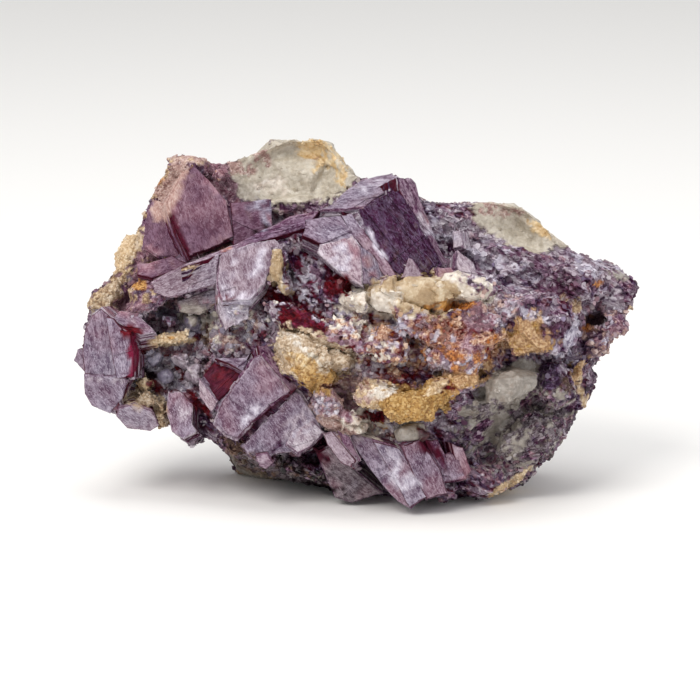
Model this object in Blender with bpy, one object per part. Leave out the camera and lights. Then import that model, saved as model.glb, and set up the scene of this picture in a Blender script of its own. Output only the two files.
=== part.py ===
"""A raw lepidolite specimen: mica books, quartz and stained feldspar grown together as one palm-sized stone.

The stone is laid out as it is seen from its front, a little from above. A place is given in millimetres
right of the sight line, up from the lowest point seen, and toward the viewer.
"""

import math
import random
from collections import namedtuple

import bmesh
import bpy
from mathutils import Vector, noise
from mathutils.bvhtree import BVHTree

MM = 0.001

# How the front of the stone is seen
VIEW_TILT = math.radians(12.0)
EYE_DISTANCE = 600.0
SIGHT_UP = 22.5
SIGHT_HEIGHT = 19.5
BOX_CENTRE = (1.104, 0.033)

# The body: its edge as seen, and how far its front and back swell from the plane through its middle
BODY_CENTRE = (0.0, 25.0)
RIM_TOWARD = 1.0
FRONT_FULLNESS = 0.75
BACK_FULLNESS = 0.45
BODY_FINENESS = 4
BODY_FACES_KEPT = 0.6
BODY_ROUGHNESS = 1.0
COARSE_GRAIN = 7.0
FINE_GRAIN = 3.2
FINE_SHARE = 0.5
NOISE_SEED = 1
SPOT_SHARPNESS = 1.5
GOLDEN_ANGLE = math.pi * (3.0 - math.sqrt(5.0))

BROKEN_FACES = 9
BREAK_SEED = 3
BREAK_SLOPE = 1.1
BREAK_LEVELS = (0.45, 0.75)
BREAK_FLATNESS = 0.92
RIM_DEPTH = 0.1

BODY_EDGE = [
    (-24.1, 49.5), (-20.4, 49.1), (-16.6, 48.7), (-14.6, 48.6), (-12.4, 50.5), (-9.3, 52.1),
    (-5.3, 52.2), (-2.8, 52.1), (-1.0, 48.8), (0.8, 46.0), (4.9, 47.0), (8.1, 46.6),
    (9.7, 43.2), (14.7, 43.1), (19.6, 43.5), (24.1, 42.5), (27.5, 40.1), (29.8, 36.5),
    (33.0, 35.4), (36.8, 34.7), (39.6, 32.7), (40.7, 31.4), (39.3, 29.2), (38.9, 26.4),
    (36.5, 23.6), (34.2, 20.5), (32.8, 16.6), (32.0, 12.6), (29.8, 9.1), (27.4, 6.2),
    (23.2, 3.9), (20.4, 1.8), (15.4, 1.1), (12.1, 1.8), (8.1, 0.7), (5.3, 2.0),
    (0.3, 1.5), (-2.8, 3.2), (-7.0, 3.6), (-11.5, 4.8), (-14.6, 7.0), (-18.8, 9.0),
    (-22.2, 11.4), (-25.8, 12.1), (-31.6, 12.1), (-34.0, 13.9), (-36.8, 16.0), (-37.5, 19.6),
    (-37.6, 23.2), (-37.1, 27.4), (-36.5, 29.9), (-34.0, 31.9), (-32.3, 34.8), (-30.0, 38.7),
    (-29.1, 41.0), (-27.8, 44.6), (-25.8, 48.3),
]

FRONT_SWELL = [
    (0.0, 25.3, 15), (9.8, 29.5, 16), (16.8, 25.3, 17), (23.9, 23.9, 15), (28.8, 26.4, 12),
    (7.0, 15.4, 17), (16.8, 16.8, 15.5), (23.9, 18.2, 13), (-7.0, 20.4, 13), (12.6, 11.2, 13),
    (-2.8, 29.5, 12), (-7.0, 35.1, 9), (0.0, 40.0, 6), (7.0, 39.3, 6), (12.6, 33.7, 8),
    (18.2, 37.9, 0), (23.9, 40.7, -4), (26.7, 35.1, 1), (35.1, 32.3, 0), (35.1, 26.7, 0),
    (29.5, 15.4, 7), (26.7, 9.8, 6), (21.1, 4.2, 5), (12.6, 4.2, 9), (7.0, 4.2, 10),
    (0.0, 7.0, 5), (-5.6, 4.2, 1), (-11.2, 12.6, 9), (-15.4, 18.2, 9), (-15.4, 29.5, 8),
    (-19.6, 37.9, 4), (-23.9, 43.5, 1), (-26.7, 36.5, 2), (-23.9, 23.9, 3), (-26.7, 18.9, 1),
    (-33.7, 22.5, 4), (-33.7, 15.4, 2), (-28.1, 12.6, 2), (-23.2, 13.3, 4), (-32.3, 30.9, 0),
    (-7.0, 47.7, -6), (-9.8, 43.5, -2),
]

BACK_SWELL = [
    (0.0, 29.5, -21), (-14.0, 36.5, -16), (-23.9, 39.3, -9), (-32.3, 25.3, -9),
    (-21.1, 18.2, -15), (-7.0, 15.4, -17), (9.8, 36.5, -19), (14.0, 22.5, -21),
    (23.9, 32.3, -16), (35.1, 30.9, -7), (29.5, 18.2, -13), (14.0, 9.8, -12),
    (0.0, 8.4, -14), (-7.0, 46.3, -14), (-14.0, 9.8, -13), (18.2, 4.2, -10),
    (23.0, 39.0, -15),
]

# A crystal is a prism cut from a flat face. toward is the face's place at its middle; turn and lean are how
# much nearer the viewer it comes per millimetre to the right and per millimetre up.
Crystal = namedtuple("Crystal", "name toward turn lean depth sheets outline")
SHEET_STEP = 0.55
SHEET_SHRINK = 0.06
INTERGROWTH = 0.12

CRYSTALS = [
    Crystal("upper_left_book", 7.5, -0.28, -0.30, 11, 2, [
        (-22.0, 48.7), (-19.9, 46.6), (-17.3, 43.5), (-16.1, 38.2), (-18.9, 36.8), (-22.5, 35.4),
        (-24.4, 39.6), (-25.7, 43.5), (-23.6, 47.4)]),
    Crystal("upper_left_strip", 5.0, 0.20, -0.25, 9, 1, [
        (-27.8, 43.8), (-26.4, 43.2), (-23.9, 37.2), (-23.0, 35.4), (-26.9, 35.6), (-29.1, 37.1),
        (-28.6, 40.7)]),
    Crystal("upper_left_toe", 8.0, 0.10, -0.45, 8, 1, [
        (-28.1, 34.8), (-25.0, 35.9), (-23.0, 34.8), (-24.1, 33.7), (-27.8, 32.6), (-29.8, 33.1),
        (-29.9, 34.8)]),
    Crystal("shoulder_block", 6.0, -0.15, -0.35, 9, 1, [
        (-16.7, 43.1), (-11.2, 43.6), (-10.9, 39.3), (-12.4, 38.5), (-16.3, 37.1), (-16.6, 41.4)]),
    Crystal("bar_left", 10.5, 0.15, 0.12, 9, 1, [
        (-27.9, 32.1), (-23.2, 34.4), (-18.4, 36.2), (-18.5, 31.7), (-25.3, 29.8), (-27.6, 30.5)]),
    Crystal("bar_middle", 12.2, 0.05, -0.30, 10, 2, [
        (-18.4, 36.2), (-14.0, 37.6), (-10.4, 38.2), (-9.5, 36.9), (-11.2, 34.0), (-12.1, 31.6),
        (-14.0, 29.3), (-18.0, 29.3), (-18.7, 31.6)]),
    Crystal("bar_right", 11.5, -0.15, 0.15, 9, 1, [
        (-18.5, 31.4), (-14.0, 31.7), (-14.3, 26.9), (-17.4, 25.3), (-18.4, 28.1)]),
    Crystal("bar_ledge", 9.5, 0.05, -0.90, 7, 1, [
        (-23.6, 34.1), (-16.0, 37.5), (-8.4, 41.3), (-4.2, 42.1), (-6.5, 39.6), (-12.4, 37.8),
        (-18.4, 35.8)]),
    Crystal("centre_roof", 11.0, 0.0, -0.55, 8, 1, [
        (-6.2, 40.8), (-1.4, 41.3), (0.3, 38.9), (0.0, 38.3), (-3.9, 37.5), (-6.6, 38.7)]),
    Crystal("centre_silver", 13.2, 0.12, -0.22, 9, 1, [
        (-4.2, 37.3), (0.3, 38.5), (1.5, 36.9), (1.7, 31.6), (-0.7, 32.8), (-2.8, 34.7),
        (-4.6, 36.2)]),
    Crystal("centre_sliver", 13.3, -0.35, -0.15, 8, 1, [
        (1.5, 37.1), (3.1, 35.9), (5.6, 32.4), (4.6, 31.7), (2.0, 31.7)]),
    Crystal("centre_rail", 12.0, 0.30, -0.30, 8, 1, [
        (-1.3, 41.5), (0.3, 41.5), (2.2, 38.7), (4.2, 36.2), (6.6, 32.8), (5.3, 32.3), (3.6, 34.8),
        (0.3, 38.7)]),
    Crystal("dark_top", 6.0, 0.06, -1.30, 9, 1, [
        (-4.2, 42.2), (-2.5, 43.2), (-0.6, 44.9), (1.3, 46.3), (3.6, 47.0), (5.9, 47.4),
        (6.9, 46.7), (6.6, 45.5), (3.5, 43.9), (2.2, 42.9), (-0.6, 42.4)]),
    Crystal("dark_front", 11.5, 0.10, -0.42, 12, 2, [
        (1.1, 42.5), (2.8, 43.5), (6.9, 45.8), (8.8, 42.0), (11.5, 37.3), (12.8, 34.8),
        (11.5, 33.0), (7.0, 32.8), (5.3, 34.0), (3.6, 36.5), (2.1, 39.0)]),
    Crystal("dark_side", 8.2, -0.75, -0.35, 10, 1, [
        (6.7, 46.7), (8.6, 46.7), (9.3, 45.8), (10.2, 42.7), (11.4, 39.9), (12.9, 36.5),
        (14.2, 34.5), (13.1, 33.8), (11.8, 35.4), (10.4, 38.2), (8.6, 41.8), (7.0, 44.9)]),
    Crystal("quartz_shadow", -1.0, -0.5, 0.0, 6, 1, [
        (-0.7, 48.7), (0.3, 48.1), (1.3, 46.5), (0.1, 45.3), (-0.8, 45.3)]),
    Crystal("pane_upright", 6.5, 0.3, -0.1, 6, 1, [
        (14.3, 39.0), (15.4, 39.3), (16.0, 36.9), (14.5, 36.6)]),
    Crystal("pane_small", 15.0, -0.2, -0.2, 6, 1, [
        (12.1, 34.1), (14.3, 34.1), (15.3, 32.6), (12.4, 32.3)]),
    Crystal("pane_long", 13.0, -0.3, -0.4, 7, 1, [
        (15.0, 36.5), (17.4, 34.8), (18.7, 31.6), (16.1, 31.9), (14.9, 34.2)]),
    Crystal("pane_tooth", 15.5, 0.1, -0.2, 6, 1, [
        (7.7, 34.8), (9.1, 34.9), (9.7, 32.8), (7.6, 32.7)]),
    Crystal("maroon_slab", 15.8, 0.12, -0.35, 7, 2, [
        (-12.4, 29.5), (-8.4, 29.5), (-3.5, 26.9), (-0.6, 23.0), (-2.8, 23.7), (-7.0, 25.1),
        (-9.8, 26.4)]),
    Crystal("maroon_strip", 17.2, 0.25, -0.15, 7, 1, [
        (-2.4, 26.9), (0.0, 26.9), (2.7, 22.2), (0.7, 22.0), (-1.4, 24.4)]),
    Crystal("grey_step", 8.0, 0.1, 0.25, 6, 1, [
        (-24.1, 29.3), (-18.8, 31.0), (-18.9, 28.9), (-21.1, 27.6), (-23.9, 27.9)]),
    Crystal("left_book", 8.2, 0.28, 0.05, 9, 2, [
        (-36.2, 27.6), (-35.1, 28.4), (-33.3, 26.8), (-32.1, 25.3), (-31.0, 24.8), (-30.6, 22.2),
        (-30.6, 18.4), (-33.1, 18.4), (-37.3, 18.4), (-37.6, 22.5), (-37.2, 25.3)]),
    Crystal("left_band", 9.8, 0.22, 0.04, 8, 1, [
        (-34.2, 27.2), (-33.3, 26.8), (-32.1, 25.3), (-31.0, 24.8), (-30.6, 22.2), (-30.6, 18.7),
        (-32.8, 18.5), (-33.4, 22.5)]),
    Crystal("left_foot", 7.2, 0.25, 0.45, 8, 1, [
        (-37.3, 18.2), (-33.0, 18.0), (-31.2, 17.4), (-32.0, 15.4), (-33.7, 13.6), (-36.1, 14.6),
        (-37.2, 16.4)]),
    Crystal("left_roof", 9.0, 0.0, -0.5, 8, 1, [
        (-33.4, 26.9), (-32.4, 28.1), (-30.0, 27.8), (-28.2, 26.0), (-27.2, 25.1), (-29.5, 24.7),
        (-32.0, 26.0)]),
    Crystal("left_base", 7.2, -0.1, 0.30, 7, 1, [
        (-32.3, 14.2), (-30.2, 14.7), (-27.8, 13.8), (-26.9, 11.9), (-28.1, 11.2), (-31.2, 11.5),
        (-32.7, 13.1)]),
    Crystal("pale_blade", 8.8, 0.15, -0.15, 8, 1, [
        (-25.5, 16.7), (-23.9, 16.6), (-22.2, 14.7), (-22.3, 12.1), (-21.6, 11.1), (-23.3, 10.1),
        (-25.0, 11.2), (-25.7, 14.0)]),
    Crystal("left_tip", 3.0, 0.4, 0.1, 6, 1, [
        (-38.7, 21.1), (-38.2, 22.5), (-37.2, 22.0), (-37.3, 19.5)]),
    Crystal("red_cube", 10.2, 0.30, -0.35, 8, 1, [
        (-20.6, 18.8), (-18.7, 21.1), (-15.0, 19.6), (-16.0, 18.0), (-17.4, 16.6), (-18.8, 15.2),
        (-20.4, 17.4)]),
    Crystal("red_cube_side", 10.6, 0.65, 0.2, 8, 1, [
        (-21.2, 18.4), (-20.4, 17.4), (-18.7, 15.2), (-19.5, 13.8), (-21.1, 16.0)]),
    Crystal("cube_shelf", 11.5, 0.1, -0.5, 7, 1, [
        (-18.9, 21.3), (-14.7, 21.5), (-13.8, 22.2), (-15.0, 19.6), (-17.1, 20.8)]),
    Crystal("big_book", 13.2, 0.15, 0.08, 11, 2, [
        (-15.0, 19.5), (-13.6, 21.5), (-12.4, 22.0), (-9.7, 18.7), (-8.1, 16.7), (-11.5, 14.3),
        (-15.9, 9.8), (-17.5, 10.4), (-19.2, 12.1), (-18.7, 14.3), (-16.6, 17.4)]),
    Crystal("big_book_edge", 13.2, -0.55, -0.55, 8, 1, [
        (-12.8, 23.3), (-11.6, 23.3), (-9.4, 20.4), (-7.3, 17.4), (-8.1, 16.6), (-10.4, 19.4),
        (-12.5, 22.0)]),
    Crystal("second_book", 12.0, 0.12, 0.12, 10, 2, [
        (-7.7, 17.0), (-6.9, 16.4), (-5.5, 14.3), (-3.9, 11.5), (-6.2, 9.8), (-8.4, 8.1),
        (-10.9, 7.7), (-11.9, 6.2), (-14.0, 7.3), (-15.4, 9.0), (-12.4, 12.2), (-9.8, 14.6)]),
    Crystal("second_book_foot", 12.6, 0.0, 0.2, 5, 1, [
        (-13.2, 7.6), (-11.5, 7.9), (-10.8, 6.7), (-11.8, 5.8), (-12.8, 6.2)]),
    Crystal("second_book_cap", 13.2, -0.05, -0.1, 6, 1, [
        (-8.1, 11.2), (-5.3, 12.6), (-3.6, 10.9), (-5.3, 9.0), (-7.3, 8.1), (-9.0, 9.3)]),
    Crystal("glass_prism", 16.5, 0.15, 0.0, 8, 1, [
        (-3.8, 10.7), (-2.5, 11.1), (0.8, 7.0), (0.1, 6.0), (-1.3, 6.6), (-3.1, 9.0)]),
    Crystal("pink_prism", 15.2, 0.0, 0.0, 8, 1, [
        (-1.7, 11.1), (0.0, 10.2), (1.5, 7.0), (0.8, 6.6), (-0.7, 8.4)]),
    Crystal("fan_a", 13.8, 0.20, 0.10, 9, 1, [
        (0.0, 10.9), (3.1, 9.8), (6.7, 4.8), (8.4, 0.3), (6.6, 1.3), (4.2, 4.1), (0.6, 8.8)]),
    Crystal("fan_b", 14.8, 0.05, 0.12, 9, 2, [
        (3.1, 9.8), (7.0, 8.7), (8.7, 5.9), (10.9, 1.7), (8.4, 0.1), (5.9, 5.1)]),
    Crystal("fan_c", 15.2, -0.20, 0.10, 9, 2, [
        (7.0, 9.3), (9.8, 10.1), (12.6, 5.9), (13.8, 2.2), (10.9, 1.4), (8.7, 5.6)]),
    Crystal("fan_d", 14.0, -0.30, 0.10, 8, 1, [
        (10.4, 10.1), (12.4, 9.8), (14.3, 5.6), (12.9, 4.6), (11.2, 7.6)]),
    Crystal("fan_e", 13.4, -0.10, -0.10, 7, 1, [
        (12.8, 7.9), (14.7, 8.3), (16.3, 4.5), (12.6, 3.8)]),
    Crystal("fan_f", 13.0, -0.50, 0.10, 7, 1, [
        (14.3, 9.3), (15.9, 8.7), (17.0, 5.6), (16.1, 4.4), (14.7, 7.7)]),
    Crystal("under_fan", 9.5, 0.05, 0.35, 7, 1, [
        (-4.8, 8.1), (-2.8, 9.0), (0.6, 5.6), (4.5, 2.4), (0.3, 1.1), (-2.0, 1.8), (-3.1, 4.2)]),
    Crystal("orange_ledge", 19.5, -0.05, 0.15, 6, 1, [
        (6.3, 29.5), (12.6, 26.9), (18.2, 29.2), (21.1, 26.9), (18.2, 23.2), (11.2, 23.2),
        (7.0, 25.3)]),
    Crystal("end_shell", 17.0, -0.45, 0.0, 8, 1, [
        (23.9, 29.5), (28.4, 30.0), (31.7, 27.4), (32.6, 24.6), (30.6, 22.2), (27.4, 22.2),
        (23.9, 25.3)]),
    Crystal("right_band", 10.5, -0.5, 0.2, 7, 1, [
        (27.4, 19.4), (29.8, 20.8), (31.2, 19.4), (31.2, 15.4), (28.9, 14.0), (27.4, 16.1)]),
]

# A lump is a rough rounded mass: its middle (right, up, toward), its radii the same way, and its roll in
# degrees as seen.
Lump = namedtuple("Lump", "name middle radii roll")
SMALL_LUMP = 2.6
LUMP_SINK = 0.7
SMALL_LUMP_CORNERS = 10
LARGE_LUMP_CORNERS = 18
LUMP_BOXINESS = 0.8
LUMP_ROUGHNESS = 0.12
LUMP_TWIST = 0.4

LUMPS = [
    Lump("quartz_peak", (-8.1, 46.0, -6), (6.5, 6.0, 7.0), 0),
    Lump("quartz_peak_right", (-4.4, 48.3, -7), (3.6, 4.1, 5.0), 0),
    Lump("quartz_peak_left", (-12.4, 46.6, -4), (3.5, 2.8, 4.5), 25),
    Lump("quartz_skirt", (-8.1, 42.9, -1), (5.6, 1.5, 4.0), 5),
    Lump("cream_edge", (-31.3, 36.2, -3), (1.3, 3.1, 3.0), -25),
    Lump("cream_shoulder", (-34.0, 30.0, 1), (3.6, 1.8, 4.0), 35),
    Lump("corner_shell", (-22.7, 48.3, 1), (3.2, 1.7, 4.0), -8),
    Lump("crumb_corner", (-18.0, 47.2, 4), (1.5, 1.3, 3.0), 0),
    Lump("far_quartz", (22.6, 40.0, -10), (5.4, 3.0, 6.0), -18),
    Lump("ridge_back", (15.7, 39.9, -4), (5.3, 3.4, 6.0), -5),
    Lump("ridge_middle", (23.9, 34.8, -1), (6.7, 3.2, 6.5), -14),
    Lump("ridge_front", (31.6, 32.0, 2), (5.6, 3.1, 6.0), -14),
    Lump("ridge_far", (35.1, 33.4, -3), (4.2, 1.7, 5.0), -12),
    Lump("ridge_tip", (39.0, 31.6, 0), (2.1, 1.5, 3.5), -20),
    Lump("tip_crumb", (39.0, 28.9, 1), (1.1, 1.0, 2.0), 0),
    Lump("ridge_foot", (36.2, 26.0, 1), (3.1, 2.0, 5.0), 0),
    Lump("lower_lip", (34.7, 23.0, 3), (2.0, 1.7, 4.0), 0),
    Lump("boss_end", (27.4, 26.4, 13), (5.2, 4.4, 6.0), -10),
    Lump("boss_top", (22.2, 27.8, 15), (3.9, 2.8, 4.0), -10),
    Lump("pink_mass", (18.9, 25.3, 17), (3.5, 3.1, 3.5), 0),
    Lump("orange_hollow", (14.7, 22.2, 16), (5.3, 3.1, 4.0), -10),
    Lump("crust_top", (10.9, 30.5, 17), (6.2, 2.1, 4.0), 0),
    Lump("crust_pillow", (16.3, 31.3, 18.5), (3.4, 1.7, 3.2), -10),
    Lump("crust_left", (5.9, 30.7, 17), (2.7, 1.8, 3.5), 0),
    Lump("white_lump", (0.8, 29.1, 14), (2.4, 1.8, 3.5), 0),
    Lump("crust_nose", (-6.2, 20.8, 15), (4.6, 3.5, 4.5), -22),
    Lump("crust_low", (8.7, 14.6, 18), (4.1, 2.4, 4.0), 0),
    Lump("crust_low_left", (3.1, 15.9, 16), (2.8, 1.8, 3.5), 0),
    Lump("crust_low_right", (14.0, 17.4, 17), (4.8, 1.8, 3.5), 15),
    Lump("amber_band", (25.3, 24.1, 15), (3.6, 2.4, 3.5), 15),
    Lump("grey_quartz", (22.2, 17.5, 14), (4.6, 2.7, 4.0), 20),
    Lump("grey_quartz_low", (18.0, 14.5, 13), (2.8, 1.4, 3.0), 10),
    Lump("violet_mass", (25.0, 10.1, 6), (5.9, 4.1, 6.0), 35),
    Lump("dark_pocket", (29.5, 17.1, 9), (2.8, 3.1, 4.0), 20),
    Lump("right_cream", (31.9, 19.6, 6), (1.3, 2.5, 3.0), -10),
    Lump("right_skin", (32.8, 17.1, 0), (1.3, 3.6, 4.0), -15),
    Lump("low_right", (18.5, 4.2, 7), (3.9, 2.8, 4.5), 0),
    Lump("low_right_edge", (23.2, 5.1, 4), (3.1, 2.0, 4.0), 25),
    Lump("foot_crumb", (13.6, 2.5, 10), (1.8, 1.4, 3.0), 0),
    Lump("foot_crumb_front", (10.4, 2.8, 11), (1.5, 1.4, 2.5), 0),
    Lump("cream_column", (-10.2, 34.2, 12), (1.4, 2.9, 3.0), 0),
    Lump("column_foot", (-9.0, 31.4, 12), (1.5, 1.4, 3.0), 0),
    Lump("white_crumbs", (-15.7, 27.8, 10), (2.5, 1.5, 3.0), 10),
    Lump("grey_pebble_left", (-25.5, 26.7, 6), (1.5, 1.3, 2.5), 0),
    Lump("grey_pebble_right", (-22.3, 26.4, 6), (1.3, 1.3, 2.5), 0),
    Lump("cream_stripe", (-25.5, 24.1, 6.5), (3.1, 0.8, 2.0), 6),
    Lump("pebble_white_left", (-27.4, 21.1, 4), (1.3, 1.0, 2.0), 0),
    Lump("pebble_white_right", (-23.6, 21.1, 6), (1.7, 1.1, 2.2), -10),
    Lump("pebble_white_low", (-25.8, 18.7, 4), (1.0, 0.7, 1.5), 0),
    Lump("pebble_cream_top", (-28.5, 17.7, 4.5), (1.3, 1.0, 2.0), 0),
    Lump("pebble_cream_low", (-28.6, 15.4, 5), (2.1, 1.3, 2.5), 0),
    Lump("pebble_lilac", (-22.0, 19.2, 7), (1.3, 1.3, 2.0), 0),
    Lump("cream_tooth", (-26.4, 13.5, 4), (0.8, 1.8, 2.5), 0),
    Lump("left_cheek", (-28.1, 30.5, 8), (3.4, 1.3, 3.0), 0),
    Lump("left_brow", (-28.8, 28.8, 8), (3.1, 1.4, 3.0), 10),
    Lump("pink_crumbs", (-3.2, 15.2, 15), (2.8, 2.1, 3.0), -35),
    Lump("pink_crumbs_low", (0.0, 12.6, 14), (2.4, 1.7, 3.0), -25),
    Lump("heart_mass", (5.6, 23.2, 16.5), (3.4, 3.1, 3.5), 0),
    Lump("belly_shade", (-5.6, 5.3, 4), (4.8, 1.8, 4.0), -15),
    Lump("low_left_skin", (-16.0, 9.5, 5), (3.6, 2.1, 4.0), -30),
]

# Hollows broken into the stone, with middle, radii and roll as for a lump
PITS = [
    Lump("window_recess", (-4.6, 33.6, 15.5), (3.2, 2.0, 4.0), -20),
    Lump("end_hole", (34.7, 26.4, 6.0), (1.9, 1.4, 4.5), 15),
    Lump("under_gap", (-6.2, 3.6, 4.0), (3.2, 1.0, 5.0), -12),
    Lump("left_recess", (-25.6, 19.9, 8.5), (3.2, 1.5, 3.5), 0),
    Lump("slot_under_bar", (-22.5, 31.0, 11.0), (3.4, 0.7, 2.5), 10),
]

# Small blocks of mica that stand out of the body between the crystals above, and on its far side
FRONT_BLOCKS = 34
REAR_BLOCKS = 12
BLOCK_SEED = 5
BLOCK_RANGE_RIGHT = (-38.0, 40.0)
BLOCK_RANGE_UP = (2.0, 48.0)
BLOCK_EDGE_MARGIN = 1.09
BLOCK_FACING = 0.15
BLOCK_SIDES = (4, 4, 5, 6)
BLOCK_SIZES = (1.1, 2.6)
BLOCK_STRETCH = (1.0, 1.5)
BLOCK_TILT = 0.6
BLOCK_STANDING = 0.65
BLOCK_ROOT = 1.5
CAST_FROM = 60.0

# The far side carries books like those in front, set round its middle at a steady angle
REAR_BOOKS = 13
REAR_REACH = (28.0, 16.0)
REAR_SEED = 11
REAR_SIDES = (4, 5, 6)
REAR_SIZES = (4.5, 7.5)
REAR_STRETCH = (1.2, 0.85)
REAR_DEPTH = 9.0
REAR_TILT = 0.35
REAR_STAND = (-0.3, 1.1)

# Chunks of quartz and granular mica on the far side
REAR_LUMPS = [
    Lump("rear_quartz", (8.0, 33.0, -14), (8.0, 6.0, 5.0), 20),
    Lump("rear_shoulder_left", (-19.0, 31.0, -8), (7.5, 6.0, 5.5), -30),
    Lump("rear_belly", (4.0, 17.0, -13), (9.0, 5.5, 4.5), -10),
    Lump("rear_crust_right", (24.0, 16.0, -9), (6.0, 5.0, 4.0), -25),
]

# Rough feet behind, where the stone touches the table out of sight
REAR_FEET = [
    Lump("rear_foot_left", (-10.0, 10.2, -8), (8.5, 7.0, 6.5), 10),
    Lump("rear_foot_right", (14.0, 10.4, -9), (8.5, 7.5, 6.5), -8),
    Lump("middle_foot", (2.0, 4.6, -3), (5.5, 3.6, 4.5), 0),
]
TABLE_CUTTER = 200.0

STONE_COLOUR = (0.21, 0.14, 0.20, 1.0)
STONE_ROUGHNESS = 0.55


def world(right, up, toward):
    """The place, in millimetres, of a point given from the sight line in the viewer's own directions."""
    cos, sin = math.cos(VIEW_TILT), math.sin(VIEW_TILT)
    return Vector((
        right - BOX_CENTRE[0],
        up * sin - toward * cos - BOX_CENTRE[1],
        up * cos + toward * sin + SIGHT_HEIGHT,
    ))


def seen(right, up, toward):
    """The place of a point that is seen at (right, up) and lies toward millimetres nearer than the middle."""
    nearer = 1.0 - toward / EYE_DISTANCE
    return world(right * nearer, (up - SIGHT_UP) * nearer, toward)


def swell(spots, right, up):
    """How far the body comes toward the viewer at a place, blended from the spots around it."""
    total = weights = 0.0
    for spot_right, spot_up, toward in spots:
        weight = ((right - spot_right) ** 2 + (up - spot_up) ** 2 + 1.0) ** -SPOT_SHARPNESS
        total += weight * toward
        weights += weight
    return total / weights


def edge_reach(angle):
    """How far the body's edge is from its centre in a direction, as seen."""
    along = Vector((math.cos(angle), math.sin(angle)))
    centre = Vector(BODY_CENTRE)
    reach = 0.0
    for start, end in zip(BODY_EDGE, BODY_EDGE[1:] + BODY_EDGE[:1]):
        a = Vector(start) - centre
        side = Vector(end) - Vector(start)
        cross = along.x * side.y - along.y * side.x
        if abs(cross) < 1e-9:
            continue
        distance = (a.x * side.y - a.y * side.x) / cross
        share = (a.x * along.y - a.y * along.x) / cross
        if distance > 0.0 and 0.0 <= share <= 1.0:
            reach = max(reach, distance)
    return reach


def new_object(name, mesh_builder):
    mesh = bpy.data.meshes.new(name)
    mesh_builder.to_mesh(mesh)
    mesh_builder.free()
    made = bpy.data.objects.new(name, mesh)
    bpy.context.scene.collection.objects.link(made)
    return made


def swelled(direction):
    """The place on the unbroken body in a direction from its middle: right, up and toward."""
    side, height, depth = direction
    angle = math.atan2(height, side)
    reach = edge_reach(angle) * math.hypot(side, height)
    right = BODY_CENTRE[0] + reach * math.cos(angle)
    up = BODY_CENTRE[1] + reach * math.sin(angle)
    spots = FRONT_SWELL if depth > 0 else BACK_SWELL
    share = abs(depth) ** (FRONT_FULLNESS if depth > 0 else BACK_FULLNESS)
    return Vector((right, up, RIM_TOWARD + share * (swell(spots, right, up) - RIM_TOWARD)))


def break_off(points, rim):
    """Flattens the far side along broken faces, none of which reaches the edge that the viewer sees."""
    dice = random.Random(BREAK_SEED)
    for index in range(BROKEN_FACES):
        slope = BREAK_SLOPE * math.sqrt((index + 0.5) / BROKEN_FACES)
        outward = Vector((
            slope * math.cos(index * GOLDEN_ANGLE),
            slope * math.sin(index * GOLDEN_ANGLE),
            -1.0,
        )).normalized()
        edge = max(outward.dot(point) for point in rim)
        top = max(outward.dot(point) for point in points)
        level = edge + (top - edge) * dice.uniform(*BREAK_LEVELS)
        for point in points:
            above = outward.dot(point) - level
            if above > 0.0:
                point -= outward * above * BREAK_FLATNESS


def make_body():
    """The mass that all else grows from: a ball pressed to the stone's outline, swelled and then broken."""
    noise.seed_set(NOISE_SEED)
    ball = bmesh.new()
    bmesh.ops.create_icosphere(ball, subdivisions=BODY_FINENESS, radius=1.0)
    directions = [vert.co.copy() for vert in ball.verts]
    points = [swelled(direction) for direction in directions]
    rim = [point for direction, point in zip(directions, points) if direction.z > -RIM_DEPTH]
    break_off(points, rim)
    for vert, direction, point in zip(ball.verts, directions, points):
        coarse = noise.noise_vector(point / COARSE_GRAIN)
        fine = noise.noise_vector(point / FINE_GRAIN)
        inner = min(1.0, 2.0 * abs(direction.z))
        vert.co = seen(*point) + BODY_ROUGHNESS * inner * (coarse + FINE_SHARE * fine)
    body = new_object("body", ball)
    thin = body.modifiers.new("fewer faces", "DECIMATE")
    thin.ratio = BODY_FACES_KEPT
    return body


def face_points(crystal, shrink, sink):
    """The corners of a crystal's flat face, smaller by shrink and set back by sink, and the way it faces."""
    count = len(crystal.outline)
    middle_right = sum(right for right, up in crystal.outline) / count
    middle_up = sum(up for right, up in crystal.outline) / count - SIGHT_UP
    nearer = 1.0 - crystal.toward / EYE_DISTANCE
    points = []
    for right, up in crystal.outline:
        from_middle = math.hypot(right - middle_right, up - SIGHT_UP - middle_up)
        reach = shrink + INTERGROWTH / from_middle
        right = middle_right + (right - middle_right) * reach
        up = middle_up + (up - SIGHT_UP - middle_up) * reach
        along = EYE_DISTANCE - crystal.toward + nearer * (
            crystal.turn * middle_right + crystal.lean * middle_up)
        along /= EYE_DISTANCE + crystal.turn * right + crystal.lean * up
        points.append(world(right * along, up * along, EYE_DISTANCE * (1.0 - along)))
    outward = world(-crystal.turn, -crystal.lean, 1.0) - world(0.0, 0.0, 0.0)
    outward.normalize()
    return [point - outward * sink for point in points], outward


def make_prism(name, front, outward, depth):
    """A closed prism from a flat face straight back into the stone."""
    prism = bmesh.new()
    near = [prism.verts.new(point) for point in front]
    far = [prism.verts.new(point - outward * depth) for point in front]
    prism.faces.new(near)
    prism.faces.new(far[::-1])
    for i in range(len(near)):
        j = (i + 1) % len(near)
        prism.faces.new((near[j], near[i], far[i], far[j]))
    bmesh.ops.recalc_face_normals(prism, faces=prism.faces)
    return new_object(name, prism)


def make_crystal(crystal):
    """A crystal's sheets, each a little smaller and further forward than the one behind it."""
    made = []
    for sheet in range(crystal.sheets):
        behind = crystal.sheets - 1 - sheet
        front, outward = face_points(crystal, 1.0 - SHEET_SHRINK * sheet, SHEET_STEP * behind)
        made.append(make_prism(f"{crystal.name}_{sheet}", front, outward, crystal.depth))
    return made


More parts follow.
